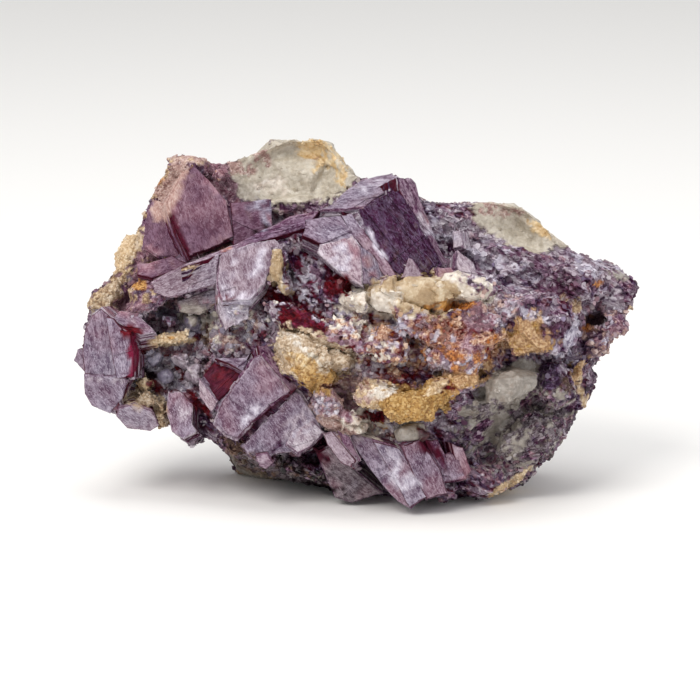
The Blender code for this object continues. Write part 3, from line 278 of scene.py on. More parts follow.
BOOKS = {piece: [Crystal(*row) for row in rows] for piece, rows in {
    "mica_books_upper": [
        ("upper_left_book", "mottled", -72, 7.5, -0.28, -0.30, [
            (-22.0, 48.7), (-19.9, 46.6), (-17.3, 43.5), (-16.1, 38.2), (-18.9, 36.8), (-22.5, 35.4),
            (-24.4, 39.6), (-25.7, 43.5), (-23.6, 47.4)], 2),
        ("upper_left_strip", "mottled", -68, 5.0, 0.20, -0.25, [
            (-27.8, 43.8), (-26.4, 43.2), (-23.9, 37.2), (-23.0, 35.4), (-26.9, 35.6), (-29.1, 37.1),
            (-28.6, 40.7)]),
        ("upper_left_toe", "mottled", 15, 8.0, 0.10, -0.45, [
            (-28.1, 34.8), (-25.0, 35.9), (-23.0, 34.8), (-24.1, 33.7), (-27.8, 32.6), (-29.8, 33.1),
            (-29.9, 34.8)]),
        ("shoulder_block", "mottled", 15, 6.0, -0.15, -0.35, [
            (-16.7, 43.1), (-11.2, 43.6), (-10.9, 39.3), (-12.4, 38.5), (-16.3, 37.1), (-16.6, 41.4)]),
        ("bar_left", "pearly", 18, 10.5, 0.15, 0.12, [
            (-27.9, 32.1), (-23.2, 34.4), (-18.4, 36.2), (-18.5, 31.7), (-25.3, 29.8), (-27.6, 30.5)]),
        ("bar_middle", "pearly", -75, 12.2, 0.05, -0.30, [
            (-18.4, 36.2), (-14.0, 37.6), (-10.4, 38.2), (-9.5, 36.9), (-11.2, 34.0), (-12.1, 31.6),
            (-14.0, 29.3), (-18.0, 29.3), (-18.7, 31.6)], 2),
        ("bar_right", "silvery", -75, 11.5, -0.15, 0.15, [
            (-18.5, 31.4), (-14.0, 31.7), (-14.3, 26.9), (-17.4, 25.3), (-18.4, 28.1)]),
        ("bar_ledge", "streaked", 24, 9.5, 0.05, -0.90, [
            (-23.6, 34.1), (-16.0, 37.5), (-8.4, 41.3), (-4.2, 42.1), (-6.5, 39.6), (-12.4, 37.8),
            (-18.4, 35.8)]),
    ],
    "mica_books_centre": [
        ("centre_roof", "lilac", -30, 11.0, 0.0, -0.55, [
            (-6.2, 40.8), (-1.4, 41.3), (0.3, 38.9), (0.0, 38.3), (-3.9, 37.5), (-6.6, 38.7)]),
        ("centre_silver", "silvery", -60, 13.2, 0.12, -0.22, [
            (-4.2, 37.3), (0.3, 38.5), (1.5, 36.9), (1.7, 31.6), (-0.7, 32.8), (-2.8, 34.7),
            (-4.6, 36.2)]),
        ("centre_sliver", "lilac", -70, 13.3, -0.35, -0.15, [
            (1.5, 37.1), (3.1, 35.9), (5.6, 32.4), (4.6, 31.7), (2.0, 31.7)]),
        ("centre_rail", "lilac", -53, 12.0, 0.30, -0.30, [
            (-1.3, 41.5), (0.3, 41.5), (2.2, 38.7), (4.2, 36.2), (6.6, 32.8), (5.3, 32.3), (3.6, 34.8),
            (0.3, 38.7)]),
        ("dark_top", "lilac", 25, 6.0, 0.06, -1.30, [
            (-4.2, 42.2), (-2.5, 43.2), (-0.6, 44.9), (1.3, 46.3), (3.6, 47.0), (5.9, 47.4),
            (6.9, 46.7), (6.6, 45.5), (3.5, 43.9), (2.2, 42.9), (-0.6, 42.4)]),
        ("dark_front", "dark", -56, 11.5, 0.10, -0.42, [
            (1.1, 42.5), (2.8, 43.5), (6.9, 45.8), (8.8, 42.0), (11.5, 37.3), (12.8, 34.8),
            (11.5, 33.0), (7.0, 32.8), (5.3, 34.0), (3.6, 36.5), (2.1, 39.0)], 2),
        ("dark_side", "streaked", -58, 8.2, -0.75, -0.35, [
            (6.7, 46.7), (8.6, 46.7), (9.3, 45.8), (10.2, 42.7), (11.4, 39.9), (12.9, 36.5),
            (14.2, 34.5), (13.1, 33.8), (11.8, 35.4), (10.4, 38.2), (8.6, 41.8), (7.0, 44.9)]),
        ("pane_upright", "silvery", -85, 6.5, 0.3, -0.1, [
            (14.3, 39.0), (15.4, 39.3), (16.0, 36.9), (14.5, 36.6)]),
        ("pane_small", "rosy", 0, 15.0, -0.2, -0.2, [
            (12.1, 34.1), (14.3, 34.1), (15.3, 32.6), (12.4, 32.3)]),
        ("pane_long", "silvery", -62, 13.0, -0.3, -0.4, [
            (15.0, 36.5), (17.4, 34.8), (18.7, 31.6), (16.1, 31.9), (14.9, 34.2)]),
        ("pane_tooth", "pearly", 80, 15.5, 0.1, -0.2, [
            (8.2, 35.3), (8.8, 35.2), (10.2, 33.2), (9.6, 32.5), (7.2, 32.6)]),
    ],
    "mica_books_left": [
        ("grey_step", "grey", 10, 8.0, 0.1, 0.25, [
            (-24.1, 29.3), (-18.8, 31.0), (-18.9, 28.9), (-21.1, 27.6), (-23.9, 27.9)]),
        ("left_book", "lilac", -80, 8.2, 0.28, 0.05, [
            (-36.2, 27.6), (-35.1, 28.4), (-33.3, 26.8), (-32.1, 25.3), (-31.0, 24.8), (-30.6, 22.2),
            (-30.6, 18.4), (-33.1, 18.4), (-37.3, 18.4), (-37.6, 22.5), (-37.2, 25.3)], 2),
        ("left_band", "lilac", -78, 9.8, 0.22, 0.04, [
            (-34.2, 27.2), (-33.3, 26.8), (-32.1, 25.3), (-31.0, 24.8), (-30.6, 22.2), (-30.6, 18.7),
            (-32.8, 18.5), (-33.4, 22.5)]),
        ("left_foot", "lilac", -60, 7.2, 0.25, 0.45, [
            (-37.3, 19.0), (-33.0, 18.9), (-31.0, 18.2), (-32.0, 15.4), (-33.7, 13.6), (-36.1, 14.6),
            (-37.2, 16.4)]),
        ("left_roof", "lilac", -25, 9.0, 0.0, -0.5, [
            (-33.4, 26.9), (-32.4, 28.1), (-30.0, 27.8), (-28.2, 26.0), (-27.2, 25.1), (-29.5, 24.7),
            (-32.0, 26.0)]),
        ("left_base", "pearly", -30, 7.2, -0.1, 0.30, [
            (-32.3, 14.2), (-30.2, 14.7), (-27.8, 13.8), (-26.9, 11.9), (-28.1, 11.2), (-31.2, 11.5),
            (-32.7, 13.1)]),
        ("pale_blade", "lilac", -70, 8.8, 0.15, -0.15, [
            (-25.5, 16.7), (-23.9, 16.6), (-22.2, 14.7), (-22.3, 12.1), (-21.6, 11.1), (-23.3, 10.1),
            (-25.0, 11.2), (-25.7, 14.0)]),
        ("left_tip", "lilac", -60, 3.0, 0.4, 0.1, [
            (-38.7, 21.1), (-38.2, 22.5), (-37.2, 22.0), (-37.3, 19.5)]),
    ],
    "mica_books_lower": [
        ("red_cube", "maroon", 45, 10.2, 0.30, -0.35, [
            (-20.6, 18.8), (-18.7, 21.1), (-15.0, 19.6), (-16.0, 18.0), (-17.4, 16.6), (-18.8, 15.2),
            (-20.4, 17.4)]),
        ("red_cube_side", "silvery", -50, 10.6, 0.65, 0.2, [
            (-21.2, 18.4), (-20.4, 17.4), (-18.7, 15.2), (-19.5, 13.8), (-21.1, 16.0)]),
        ("cube_shelf", "lilac", 5, 11.5, 0.1, -0.5, [
            (-18.9, 21.3), (-14.7, 21.5), (-13.8, 22.2), (-15.0, 19.6), (-17.1, 20.8)]),
        ("big_book", "lilac", -58, 13.2, 0.15, 0.08, [
            (-15.0, 19.5), (-13.6, 21.5), (-12.4, 22.0), (-9.7, 18.7), (-8.1, 16.7), (-11.5, 14.3),
            (-15.9, 9.8), (-17.5, 10.4), (-19.2, 12.1), (-18.7, 14.3), (-16.6, 17.4)], 2),
        ("big_book_edge", "plum", -48, 13.2, -0.55, -0.55, [
            (-12.8, 23.3), (-11.6, 23.3), (-9.4, 20.4), (-7.3, 17.4), (-8.1, 16.6), (-10.4, 19.4),
            (-12.5, 22.0)]),
        ("second_book", "lilac", -56, 12.0, 0.12, 0.12, [
            (-7.7, 17.0), (-6.9, 16.4), (-5.5, 14.3), (-3.9, 11.5), (-6.2, 9.8), (-8.4, 8.1),
            (-10.9, 7.7), (-11.9, 6.2), (-14.0, 7.3), (-15.4, 9.0), (-12.4, 12.2), (-9.8, 14.6)], 2),
        ("second_book_foot", "rosy", 0, 12.6, 0.0, 0.2, [
            (-13.2, 7.6), (-11.5, 7.9), (-10.8, 6.7), (-11.8, 5.8), (-12.8, 6.2)]),
        ("second_book_cap", "silvery", -50, 13.2, -0.05, -0.1, [
            (-8.1, 11.2), (-5.3, 12.6), (-3.6, 10.9), (-5.3, 9.0), (-7.3, 8.1), (-9.0, 9.3)]),
    ],
    "mica_books_fan": [
        ("glass_prism", "pearly", -52, 16.5, 0.15, 0.0, [
            (-3.8, 10.7), (-2.5, 11.1), (0.8, 7.0), (0.1, 6.0), (-1.3, 6.6), (-3.1, 9.0)]),
        ("pink_prism", "plum", -58, 15.2, 0.0, 0.0, [
            (-1.7, 11.1), (0.0, 10.2), (1.5, 7.0), (0.8, 6.6), (-0.7, 8.4)]),
        ("fan_a", "lilac", -52, 13.8, 0.20, 0.10, [
            (0.0, 10.9), (3.1, 9.8), (6.7, 4.8), (8.4, 0.3), (6.6, 1.3), (4.2, 4.1), (0.6, 8.8)]),
        ("fan_b", "lilac", -58, 14.8, 0.05, 0.12, [
            (3.1, 9.8), (7.0, 8.7), (8.7, 5.9), (10.9, 1.7), (8.4, 0.1), (5.9, 5.1)], 2),
        ("fan_c", "lilac", -62, 15.2, -0.20, 0.10, [
            (7.0, 9.3), (9.8, 10.1), (12.6, 5.9), (13.8, 2.2), (10.9, 1.4), (8.7, 5.6)], 2),
        ("fan_d", "plum", -60, 14.0, -0.30, 0.10, [
            (10.4, 10.1), (12.4, 9.8), (14.3, 5.6), (12.9, 4.6), (11.2, 7.6)]),
        ("fan_e", "lilac", -70, 13.4, -0.10, -0.10, [
            (12.8, 7.9), (14.7, 8.3), (16.3, 4.5), (12.6, 3.8)]),
        ("fan_f", "rosy", -62, 13.0, -0.50, 0.10, [
            (14.3, 9.3), (15.9, 8.7), (17.0, 5.6), (16.1, 4.4), (14.7, 7.7)]),
        ("under_fan", "grey", -42, 9.5, 0.05, 0.35, [
            (-4.8, 8.1), (-2.8, 9.0), (0.6, 5.6), (4.5, 2.4), (0.3, 1.1), (-2.0, 1.8), (-3.1, 4.2)]),
    ],
}.items()}

# A lump is a rough rounded chunk: its mineral, its middle (right, up, toward), its radii the same way, and
# its roll in degrees as seen
Lump = namedtuple("Lump", "name mineral middle radii roll")
SMALL_LUMP = 2.6
LUMP_SINK = 0.7
SMALL_LUMP_CORNERS = 10
LARGE_LUMP_CORNERS = 18
LUMP_BOXINESS = 0.8
LUMP_ROUGHNESS = 0.12
LUMP_TWIST = 0.4

QUARTZ_LUMPS = [Lump(*row) for row in (
    ("crust_top", "wax", (9.6, 30.2, 16.4), (5.6, 2.6, 4.0), 4),
    ("crust_top_low", "wax", (12.0, 28.9, 16.6), (3.4, 2.0, 3.4), 12),
    ("crust_left", "white", (5.0, 29.7, 16.0), (2.6, 2.1, 3.4), -10),
    ("crust_pillow", "white", (16.0, 31.1, 17.6), (3.7, 2.0, 2.4), -10),
    ("crust_foot", "blush", (8.0, 28.4, 16.2), (2.2, 1.4, 3.0), -25),
    ("grey_pebble_left", "mist", (-25.5, 26.7, 6), (1.5, 1.3, 2.5), 0),
    ("grey_pebble_right", "mist", (-22.3, 26.4, 6), (1.3, 1.3, 2.5), 0),
    ("pebble_white_left", "mist", (-27.4, 21.1, 4), (1.3, 1.0, 2.0), 0),
    ("pebble_white_right", "silver", (-23.6, 21.1, 6), (1.7, 1.1, 2.2), -10),
    ("pebble_white_low", "mist", (-25.8, 18.7, 4), (1.0, 0.7, 1.5), 0),
    ("pebble_lilac", "silver", (-22.0, 19.2, 7), (1.3, 1.3, 2.0), 0),
    ("under_lens", "quartz", (8.3, 10.9, 15.0), (2.7, 1.3, 2.5), 14),
)]

FELDSPAR_LUMPS = [Lump(*row) for row in (
    ("crust_nose", "bone", (-7.0, 22.2, 15), (3.8, 2.7, 4.5), -25),
    ("crust_nose_tip", "straw", (-4.7, 19.5, 15), (2.9, 2.0, 4.0), -38),
    ("crust_nose_right", "bone", (-2.2, 21.2, 14.5), (2.6, 1.7, 3.5), -20),
    ("crust_low", "straw", (8.7, 14.6, 18), (4.1, 2.4, 4.0), 0),
    ("crust_low_left", "cream", (3.1, 15.9, 16), (2.8, 1.8, 3.5), 0),
    ("crust_low_bridge", "straw", (5.8, 15.6, 17), (2.6, 1.7, 3.5), -10),
    ("crust_low_rise", "straw", (11.2, 15.6, 17.5), (3.0, 1.8, 3.5), 30),
    ("cream_stripe", "cream", (-25.5, 24.1, 6.5), (3.1, 0.8, 2.0), 6),
    ("pebble_cream_top", "cream", (-28.5, 17.7, 4.5), (1.3, 1.0, 2.0), 0),
    ("pebble_cream_low", "bone", (-28.6, 15.4, 5), (2.1, 1.3, 2.5), 0),
    ("cream_tooth", "bone", (-26.4, 13.5, 4), (0.8, 1.8, 2.5), 0),
    ("white_seam", "blush", (-2.8, 12.6, 12.5), (2.6, 1.7, 3.0), -40),
    ("white_seam_low", "blush", (0.3, 11.5, 13.0), (2.4, 1.5, 3.0), -20),
)]

# A stain is a patch of another mineral on the side that the viewer sees: its middle and radii, right and up,
# its roll in degrees, and how strong it is
Stain = namedtuple("Stain", "mineral middle radii roll strength")

STAINS = [Stain(*row) for row in (
    # The rim of the upper left book, the shoulder beside it and the groove in it
    ("cream", (-22.5, 49.1), (3.6, 0.6), -3, 0.85),
    ("tan", (-26.7, 45.8), (0.7, 2.4), -25, 0.8),
    ("orange", (-26.7, 46.3), (0.6, 0.7), 0, 0.55),
    ("cream", (-31.7, 36.5), (1.0, 3.2), -25, 0.95),
    ("ochre", (-18.0, 47.3), (1.1, 1.0), 0, 0.8),
    ("umber", (-17.4, 47.0), (0.4, 0.4), 0, 0.9),
    ("blush", (-15.7, 48.0), (2.7, 0.8), -10, 0.7),
    ("rose", (-28.8, 34.8), (1.7, 2.2), -10, 0.75),
    ("ochre", (-29.8, 31.6), (1.0, 0.6), 0, 0.8),
    ("maroon", (-24.1, 39.2), (4.4, 0.4), -67, 0.95),
    ("rose", (-25.3, 42.8), (2.8, 0.5), -67, 0.5),
    # The crack above the bar, painted in shadow, and what lies below the bar, with painted shade in umber
    # under its lower edge
    ("shadow", (-17.3, 37.3), (6.6, 0.2), 24, 0.9),
    ("cream", (-22.5, 34.1), (1.4, 0.2), 20, 0.8),
    ("rust", (-17.3, 36.6), (0.8, 0.3), 10, 0.9),
    ("rose", (-21.1, 29.3), (3.6, 0.4), 17, 0.9),
    # painted shade under the bar's lower edge
    ("umber", (-20.4, 28.5), (3.4, 0.2), 17, 0.8),
    ("rose", (-31.2, 28.6), (3.1, 1.4), 5, 0.6),
    ("plum", (-26.7, 26.4), (3.1, 1.3), 0, 0.45),
    ("quartz", (-21.5, 27.2), (2.5, 1.3), 5, 0.6),
    # The cream stripe, the left book's side, and the hollow with its pit in painted shadow
    ("cream", (-25.0, 23.9), (3.2, 0.8), 7, 0.98),
    ("ochre", (-25.3, 24.3), (1.1, 0.2), 0, 0.6),
    ("umber", (-20.2, 24.4), (0.6, 2.0), 10, 0.75),
    ("rose", (-23.9, 22.5), (3.1, 0.6), 0, 0.5),
    ("blood", (-31.3, 24.7), (1.5, 0.4), -10, 0.9),
    ("wine", (-30.3, 21.8), (0.7, 3.4), -3, 0.95),
    ("blood", (-17.0, 29.6), (0.7, 0.7), 0, 0.8),
    ("shadow", (-27.8, 19.1), (1.3, 0.8), -30, 0.9),
    ("blood", (-26.9, 17.1), (2.0, 0.8), -20, 0.7),
    ("bone", (-30.0, 15.7), (1.5, 1.3), 0, 0.7),
    ("tan", (-26.4, 13.6), (0.7, 1.7), 0, 0.8),
    ("blood", (-21.3, 14.9), (2.7, 0.6), -50, 0.9),
    ("silver", (-23.3, 13.8), (0.8, 2.0), 15, 0.7),
    # The dark window and the rail beside it
    ("blood", (-2.0, 31.4), (1.8, 0.7), -8, 0.95),
    ("shadow", (-7.9, 32.8), (0.7, 1.5), 20, 0.6),
    ("silver", (-8.3, 31.7), (1.0, 0.8), 0, 0.5),
    ("rose", (2.0, 34.8), (4.2, 0.5), -53, 0.5),
    # The pale crust, the orange hollow and the crumbs round them
    ("honey", (10.4, 30.6), (2.8, 1.3), 10, 0.75),
    ("white", (14.3, 31.0), (3.1, 1.3), -5, 0.9),
    ("amber", (15.7, 28.6), (2.8, 0.4), 20, 0.95),
    # painted shade in umber under the crust's lower edge
    ("umber", (12.1, 27.9), (1.7, 0.6), 0, 0.5),
    ("orange", (15.7, 22.2), (5.6, 2.5), 0, 0.3),
    ("amber", (19.9, 24.0), (1.5, 0.7), 20, 0.9),
    ("amber", (14.3, 22.0), (1.7, 0.6), -10, 0.8),
    ("peach", (4.6, 25.3), (1.4, 1.1), 0, 0.85),
    ("orange", (5.9, 25.1), (0.8, 1.1), -20, 0.55),
    ("rose", (18.0, 26.9), (2.2, 1.7), 20, 0.7),
    ("silver", (12.2, 20.2), (2.2, 1.0), -15, 0.6),
    ("silver", (6.3, 22.2), (1.4, 1.3), 0, 0.45),
    ("blood", (13.6, 17.5), (1.8, 0.8), -10, 0.7),
    ("blood", (6.7, 22.5), (1.1, 1.1), 0, 0.4),
    # The low crust, the nose and the crumbs under them
    ("straw", (8.7, 15.0), (3.4, 2.1), -5, 0.98),
    ("white", (4.6, 16.6), (2.0, 1.1), 10, 0.75),
    ("cream", (12.1, 17.3), (2.2, 0.7), 20, 0.8),
    ("bone", (-5.6, 22.5), (3.9, 2.4), -25, 0.98),
    ("straw", (-6.6, 19.9), (3.6, 1.3), -30, 0.66),
    ("rust", (-2.8, 17.4), (1.4, 0.4), -15, 0.9),
    ("rose", (-0.7, 15.2), (2.4, 2.1), -30, 0.7),
    ("maroon", (3.8, 13.3), (1.8, 0.6), 0, 0.8),
    ("ochre", (4.6, 11.6), (1.0, 0.6), -30, 0.85),
    ("white", (1.1, 12.6), (1.4, 1.7), -10, 0.5),
    # The low right side, from the lens to the foot
    ("slate", (19.6, 14.3), (2.8, 1.0), 10, 0.6),
    ("cream", (32.6, 16.6), (0.6, 2.2), 10, 0.7),
    ("umber", (30.9, 17.4), (1.3, 1.3), 0, 0.75),
    ("violet", (28.1, 18.8), (1.5, 2.5), 20, 0.85),
    ("slate", (25.3, 10.9), (5.9, 3.4), 30, 0.5),
    ("cream", (22.7, 3.9), (3.9, 0.5), 32, 0.85),
    ("rose", (18.0, 5.6), (3.4, 1.1), 20, 0.5),
    # The fan, the gap under it in painted shadow, painted shade on the belly, and the second book
    ("maroon", (12.2, 8.1), (2.5, 0.6), -62, 0.9),
    ("maroon", (10.4, 9.8), (2.2, 0.6), -60, 0.8),
    ("frost", (7.7, 3.6), (2.2, 1.3), -30, 0.7),
    ("shadow", (-5.9, 3.2), (5.9, 0.8), -10, 0.95),
    ("umber", (-15.7, 8.4), (3.6, 1.1), -38, 0.5),
    ("silver", (-6.6, 9.8), (1.8, 1.3), -35, 0.7),
    ("maroon", (-4.5, 8.1), (2.2, 1.3), 40, 0.9),
    # The far quartz, the ridge, its tip and its boss
    ("rose", (14.0, 40.4), (3.9, 1.3), -5, 0.5),
    ("milk", (23.0, 40.4), (6.5, 2.8), -22, 1.0),
    ("blush", (21.1, 41.8), (3.9, 1.0), -12, 0.5),
    ("honey", (26.8, 39.3), (2.0, 0.8), -40, 0.8),
    ("silver", (17.7, 36.9), (2.1, 1.3), -20, 0.9),
    ("grape", (29.8, 32.0), (3.9, 1.7), -16, 0.62),
    ("tan", (30.9, 28.9), (1.8, 1.0), -40, 0.7),
    ("orange", (35.1, 31.9), (0.8, 0.6), 10, 0.95),
    ("quartz", (37.5, 33.0), (1.8, 0.7), -15, 0.7),
    ("plum", (39.0, 30.9), (2.0, 1.0), 20, 0.5),
    ("shadow", (34.7, 26.7), (1.7, 1.0), 20, 0.95),
    ("amber", (33.4, 25.4), (1.0, 0.4), 0, 0.9),
    ("cream", (39.7, 28.4), (0.7, 0.6), 0, 0.8),
    ("grape", (28.9, 25.3), (2.1, 1.5), 0, 0.7),
    ("frost", (31.4, 25.3), (0.7, 3.6), -14, 0.8),
    ("plum", (24.8, 30.2), (3.4, 1.7), -20, 0.4),
    ("silver", (21.1, 29.5), (1.7, 1.4), 0, 0.3),
    # The quartz peak
    ("honey", (-3.9, 51.1), (3.4, 1.1), -12, 0.75),
    ("ochre", (-5.3, 50.2), (1.0, 0.7), -20, 0.7),
    ("honey", (-1.7, 48.0), (1.1, 3.1), 15, 0.6),
    ("white", (-10.9, 45.5), (2.2, 1.3), 0, 0.7),
    ("plum", (-7.0, 42.8), (4.8, 0.6), 8, 0.6),
    # What lies over the ones above, in any part of the stone
    ("slate", (-11.2, 5.6), (5.6, 1.3), -20, 0.5),
    ("wax", (9.1, 30.5), (6.2, 2.1), 0, 1.0),
    ("white", (5.3, 30.0), (2.0, 1.3), 0, 0.8),
    ("maroon", (-11.8, 13.3), (5.9, 0.4), 43, 0.9),
    ("violet", (-8.7, 10.4), (4.1, 0.3), 46, 0.85),
    ("silver", (-6.6, 10.8), (2.7, 1.5), 45, 0.65),
    ("blush", (-25.3, 44.9), (1.4, 5.1), -24, 0.9),
    ("blush", (-20.4, 49.4), (5.3, 1.1), -3, 0.8),
    ("blood", (-1.3, 31.9), (1.5, 1.0), -10, 0.9),
    ("white", (2.1, 12.1), (4.2, 1.3), -10, 0.5),
    ("blood", (2.9, 13.1), (2.0, 0.7), -5, 0.8),
    ("pearl", (34.5, 34.0), (4.2, 1.4), -14, 0.5),
    ("blush", (-12.4, 49.1), (1.4, 1.4), 0, 0.6),
    ("rose", (-9.1, 41.5), (4.2, 0.6), 4, 0.6),
    ("blood", (-1.7, 31.2), (2.0, 0.8), -15, 0.9),
    ("white", (-7.0, 23.3), (3.1, 0.6), -42, 0.6),
    ("frost", (17.7, 35.9), (1.7, 0.7), -20, 0.8),
    ("silver", (13.2, 39.9), (4.2, 1.5), -8, 0.7),
    ("silver", (-34.5, 18.4), (3.6, 0.3), -3, 0.7),
    ("blood", (-30.6, 25.4), (1.7, 0.4), -12, 0.95),
    ("frost", (-14.3, 12.9), (2.1, 0.6), 45, 0.6),
    ("silver", (-7.0, 12.1), (3.1, 1.4), 48, 0.55),
    ("white", (3.1, 10.7), (1.7, 0.4), -35, 0.7),
    ("milk", (-4.5, 21.3), (2.0, 0.8), -20, 0.5),
    ("frost", (3.1, 45.5), (3.6, 0.4), 22, 0.45),
    ("frost", (2.5, 39.0), (0.4, 4.8), 32, 0.7),
    ("honey", (-3.1, 49.1), (2.0, 1.7), 0, 0.6),
    ("frost", (6.7, 25.5), (2.0, 1.0), -40, 0.6),
    ("blood", (3.1, 22.2), (1.7, 1.0), -40, 0.45),
    ("rust", (10.5, 26.4), (1.7, 0.8), 10, 0.6),
    ("frost", (-16.6, 33.4), (2.5, 1.7), 25, 0.2),
    ("frost", (-12.9, 34.8), (0.6, 3.1), -22, 0.8),
    ("frost", (-14.3, 30.0), (1.7, 1.1), 20, 0.6),
    ("frost", (-7.0, 11.2), (2.0, 1.1), 45, 0.3),
    ("frost", (11.2, 42.8), (0.4, 4.8), 27, 0.6),
    ("frost", (13.5, 38.5), (3.1, 0.6), -8, 0.7),
    ("frost", (6.7, 6.7), (0.7, 2.2), 30, 0.6),
    ("frost", (26.1, 27.5), (2.5, 1.1), -30, 0.5),
    ("frost", (33.4, 34.0), (2.2, 0.8), -20, 0.6),
    ("rose", (16.8, 23.6), (2.0, 1.4), 0, 0.5),
    ("amber", (14.3, 21.6), (1.4, 0.7), -10, 0.7),
    ("amber", (13.8, 28.5), (2.2, 0.4), 14, 0.8),
    ("ochre", (12.1, 28.6), (2.8, 0.6), 14, 0.7),
    ("grape", (25.3, 34.8), (3.1, 1.0), -22, 0.5),
    ("frost", (-16.0, 28.4), (2.0, 2.5), 0, 0.62),
    ("honey", (-7.0, 20.8), (2.2, 0.8), -30, 0.6),
    ("blood", (-18.0, 18.7), (2.0, 2.0), 0, 0.45),
    ("mist", (-12.4, 41.8), (2.2, 2.5), 0, 0.35),
    ("frost", (-1.1, 35.1), (2.1, 1.7), -60, 0.55),
    ("rose", (-18.0, 46.6), (2.0, 3.6), 20, 0.8),
    ("rust", (12.6, 24.7), (3.9, 2.0), 0, 0.6),
    ("peach", (20.2, 24.1), (2.8, 2.0), 10, 0.45),
    ("honey", (-5.3, 50.7), (2.1, 1.1), 0, 0.9),
    ("blush", (0.8, 16.6), (3.1, 1.7), -10, 0.6),
    ("silver", (1.4, 19.4), (2.5, 1.1), -10, 0.5),
)]

# The widths, in millimetres, of what shows in the minerals: flecks and streaks of other tones, single flakes
# that tip, and the sugary grains of feldspar. The finest streaks of real mica are drawn coarser, to show.
FLECK_WIDTH = 0.9
FLECK_WEIGHT = 0.6
FLAKE_STRAY = 3.0
# THREAD_STRETCH, SHINE_LEAST and the vein settings shape the painted highlights of mica, laid in its paler
# colour
THREAD_STRETCH = 0.35
SHINE_LEAST = 0.2
VEIN_SCALE = 0.16
VEIN_WIDTH = 0.035
VEIN_STRENGTH = 0.4
BOOK_FLAKE = (0.17, 0.45, 0.17)
GRAINY_MASS = 0.50
GRAINY_BOOK = 0.25
FLECK_SHARE = 0.2
SUGAR_WIDTH = 0.27
CHIP_WIDTH = 0.45

# How the mass is sunk where a book or a chunk covers it, how it rises to meet one, and the ragged halo of its
# own mineral that a chunk has. REDRAW makes another chance value of one.
BOOK_DEPTH = 5.0
COVER_SINK = 0.35
COVER_MARGIN = 0.22
CHUNK_COVER = 1.13
CHUNK_FILLET = 0.85
CHUNK_FOOT = (1.6, 1.2)
FILLET = 1.4
FILLET_FULL = 0.2
FILLET_FALL = (-0.1, -0.8)
FILLET_RISE = 0.45
HALO = 1.4
HALO_RAGGED = 0.5
REDRAW = 97.0

# Painted shade where grains meet, how dark and how wide, the swells of a zone's edge, and what is left when
# the mass's far side is thinned
SEAM_SHADE = 0.7
SEAM_SHADE_WIDTH = 0.30
ZONE_WARP_SIZE = 4.0
AWAY = 0.15
THINNED_TRIANGLES = 196000

# How far a chunk is worn, by its breadth, and in how many steps
WEAR = 0.35
WEAR_BREADTH = (0.6, 2.0)
WEAR_STEPS = 80
WEAR_BACK = 1.02

# How deep and how far a stain reaches, how its edge bends, and how it breaks up in grains
STAIN_DEPTH = 3.5
STAIN_REACH = 1.5
STAIN_EDGE = (1.25, 0.75)
STAIN_BULGE = 0.7
STAIN_WARP = 0.8
STAIN_WARP_SIZE = 2.2
STAIN_BEND = 0.6
STAIN_GRAIN = 0.62
STAIN_MIX = 0.75
STAIN_CRISPNESS = (0.30, 0.70)

# The granular relief of the mass: the width of its coarse and fine grains, counted in flakes, how far each
# grain is domed and how far it stands out or back by chance, and the swells under them
GRAIN_WIDTH, GRAIN_DOME, GRAIN_STEP = 2.9, 0.34, 0.30
FINE_GRAIN_WIDTH, FINE_GRAIN_DOME = 1.7, 0.16
SWELL_SIZE, SWELL = 2.6, 0.20
MASS_SINK = 0.12

# The far side has patches of other minerals: where it starts, their size, and the noise that each starts at
FAR_SIDE = (-3.0, -8.0)
FAR_PATCH_SIZE = 11.0
FAR_PATCH_EDGE = 0.2
FAR_PATCH_DRIFT = 0.25
FAR_PATCHES = {"tan": 0.25, "quartz": 0.45}

# How a book of mica is cut up, in millimetres: a bevel round its face, the gap that a cut leaves, the length
# of the pieces of a strip, the thickness of a sheet's edge, how far sheets, strip ends and walls stray, and
# how many neighbouring pieces tilt alike, sheets fray alike and strips have edges of one tone
BEVEL = 0.10
RIM = 0.14
CUT = 0.03
PIECE_LENGTH = (0.5, 1.0)
SHEET_THICKNESS = (0.14, 0.50)
SHEET_STRAY = (-0.16, 0.06)
END_STRAY = 0.32
END_REACH = 1.3
STRIP_TILT = 0.09
TILTED_ALIKE, FRAYED_ALIKE, TONED_ALIKE = 3, 2, 6
PIECE_SHARE = 0.9
FACE_SWELL, FACE_SWELL_SIZE = 0.07, 2.6
SHARP_END = 0.7
PIECE_SLANT = 0.12
BREAK_NUMBERS = (1, 2, 2)
BREAK_TURNS = (-35, 0, 30, 60, 90)
BREAK_STRAY = 8.0
BREAK_REACH = (0.15, 0.75)
FACE_DEPTH = 1.2
EDGE_WAVE, EDGE_WAVE_SIZE = 0.07, 0.9
STRIP_WAVE, STRIP_WAVE_SIZE = 0.05, 2.2
TONE_WEIGHT, TONE_SIZE = 0.8, 2.4
DARKEST, PALEST, RIM_SHINE = 0.65, 0.6, 0.6

# The points of a cut book: where they lie on its face, the number of each one's strip, piece and sheet, the
# chance values of the strip and the piece, the middle of the strip, how far in from the outline each point is
# and the way out, whether it is on the face, and whether past every break. The breaks are ways and reaches.
Cut = namedtuple("Cut", "seed flat strip piece sheet strip_value piece_value strip_middle inward outward "
                        "front broken breaks")
WALL = 0.02

# What is strewn: on which piece, by which attribute of it, with how many corners and how thick in shares of
# its radius, how far it leans, its material and slot, and the settings for its size and number. Then the
# roughness and refraction of each material.
Grain = namedtuple("Grain", "surface weight corners thickness lean material slot size number more")

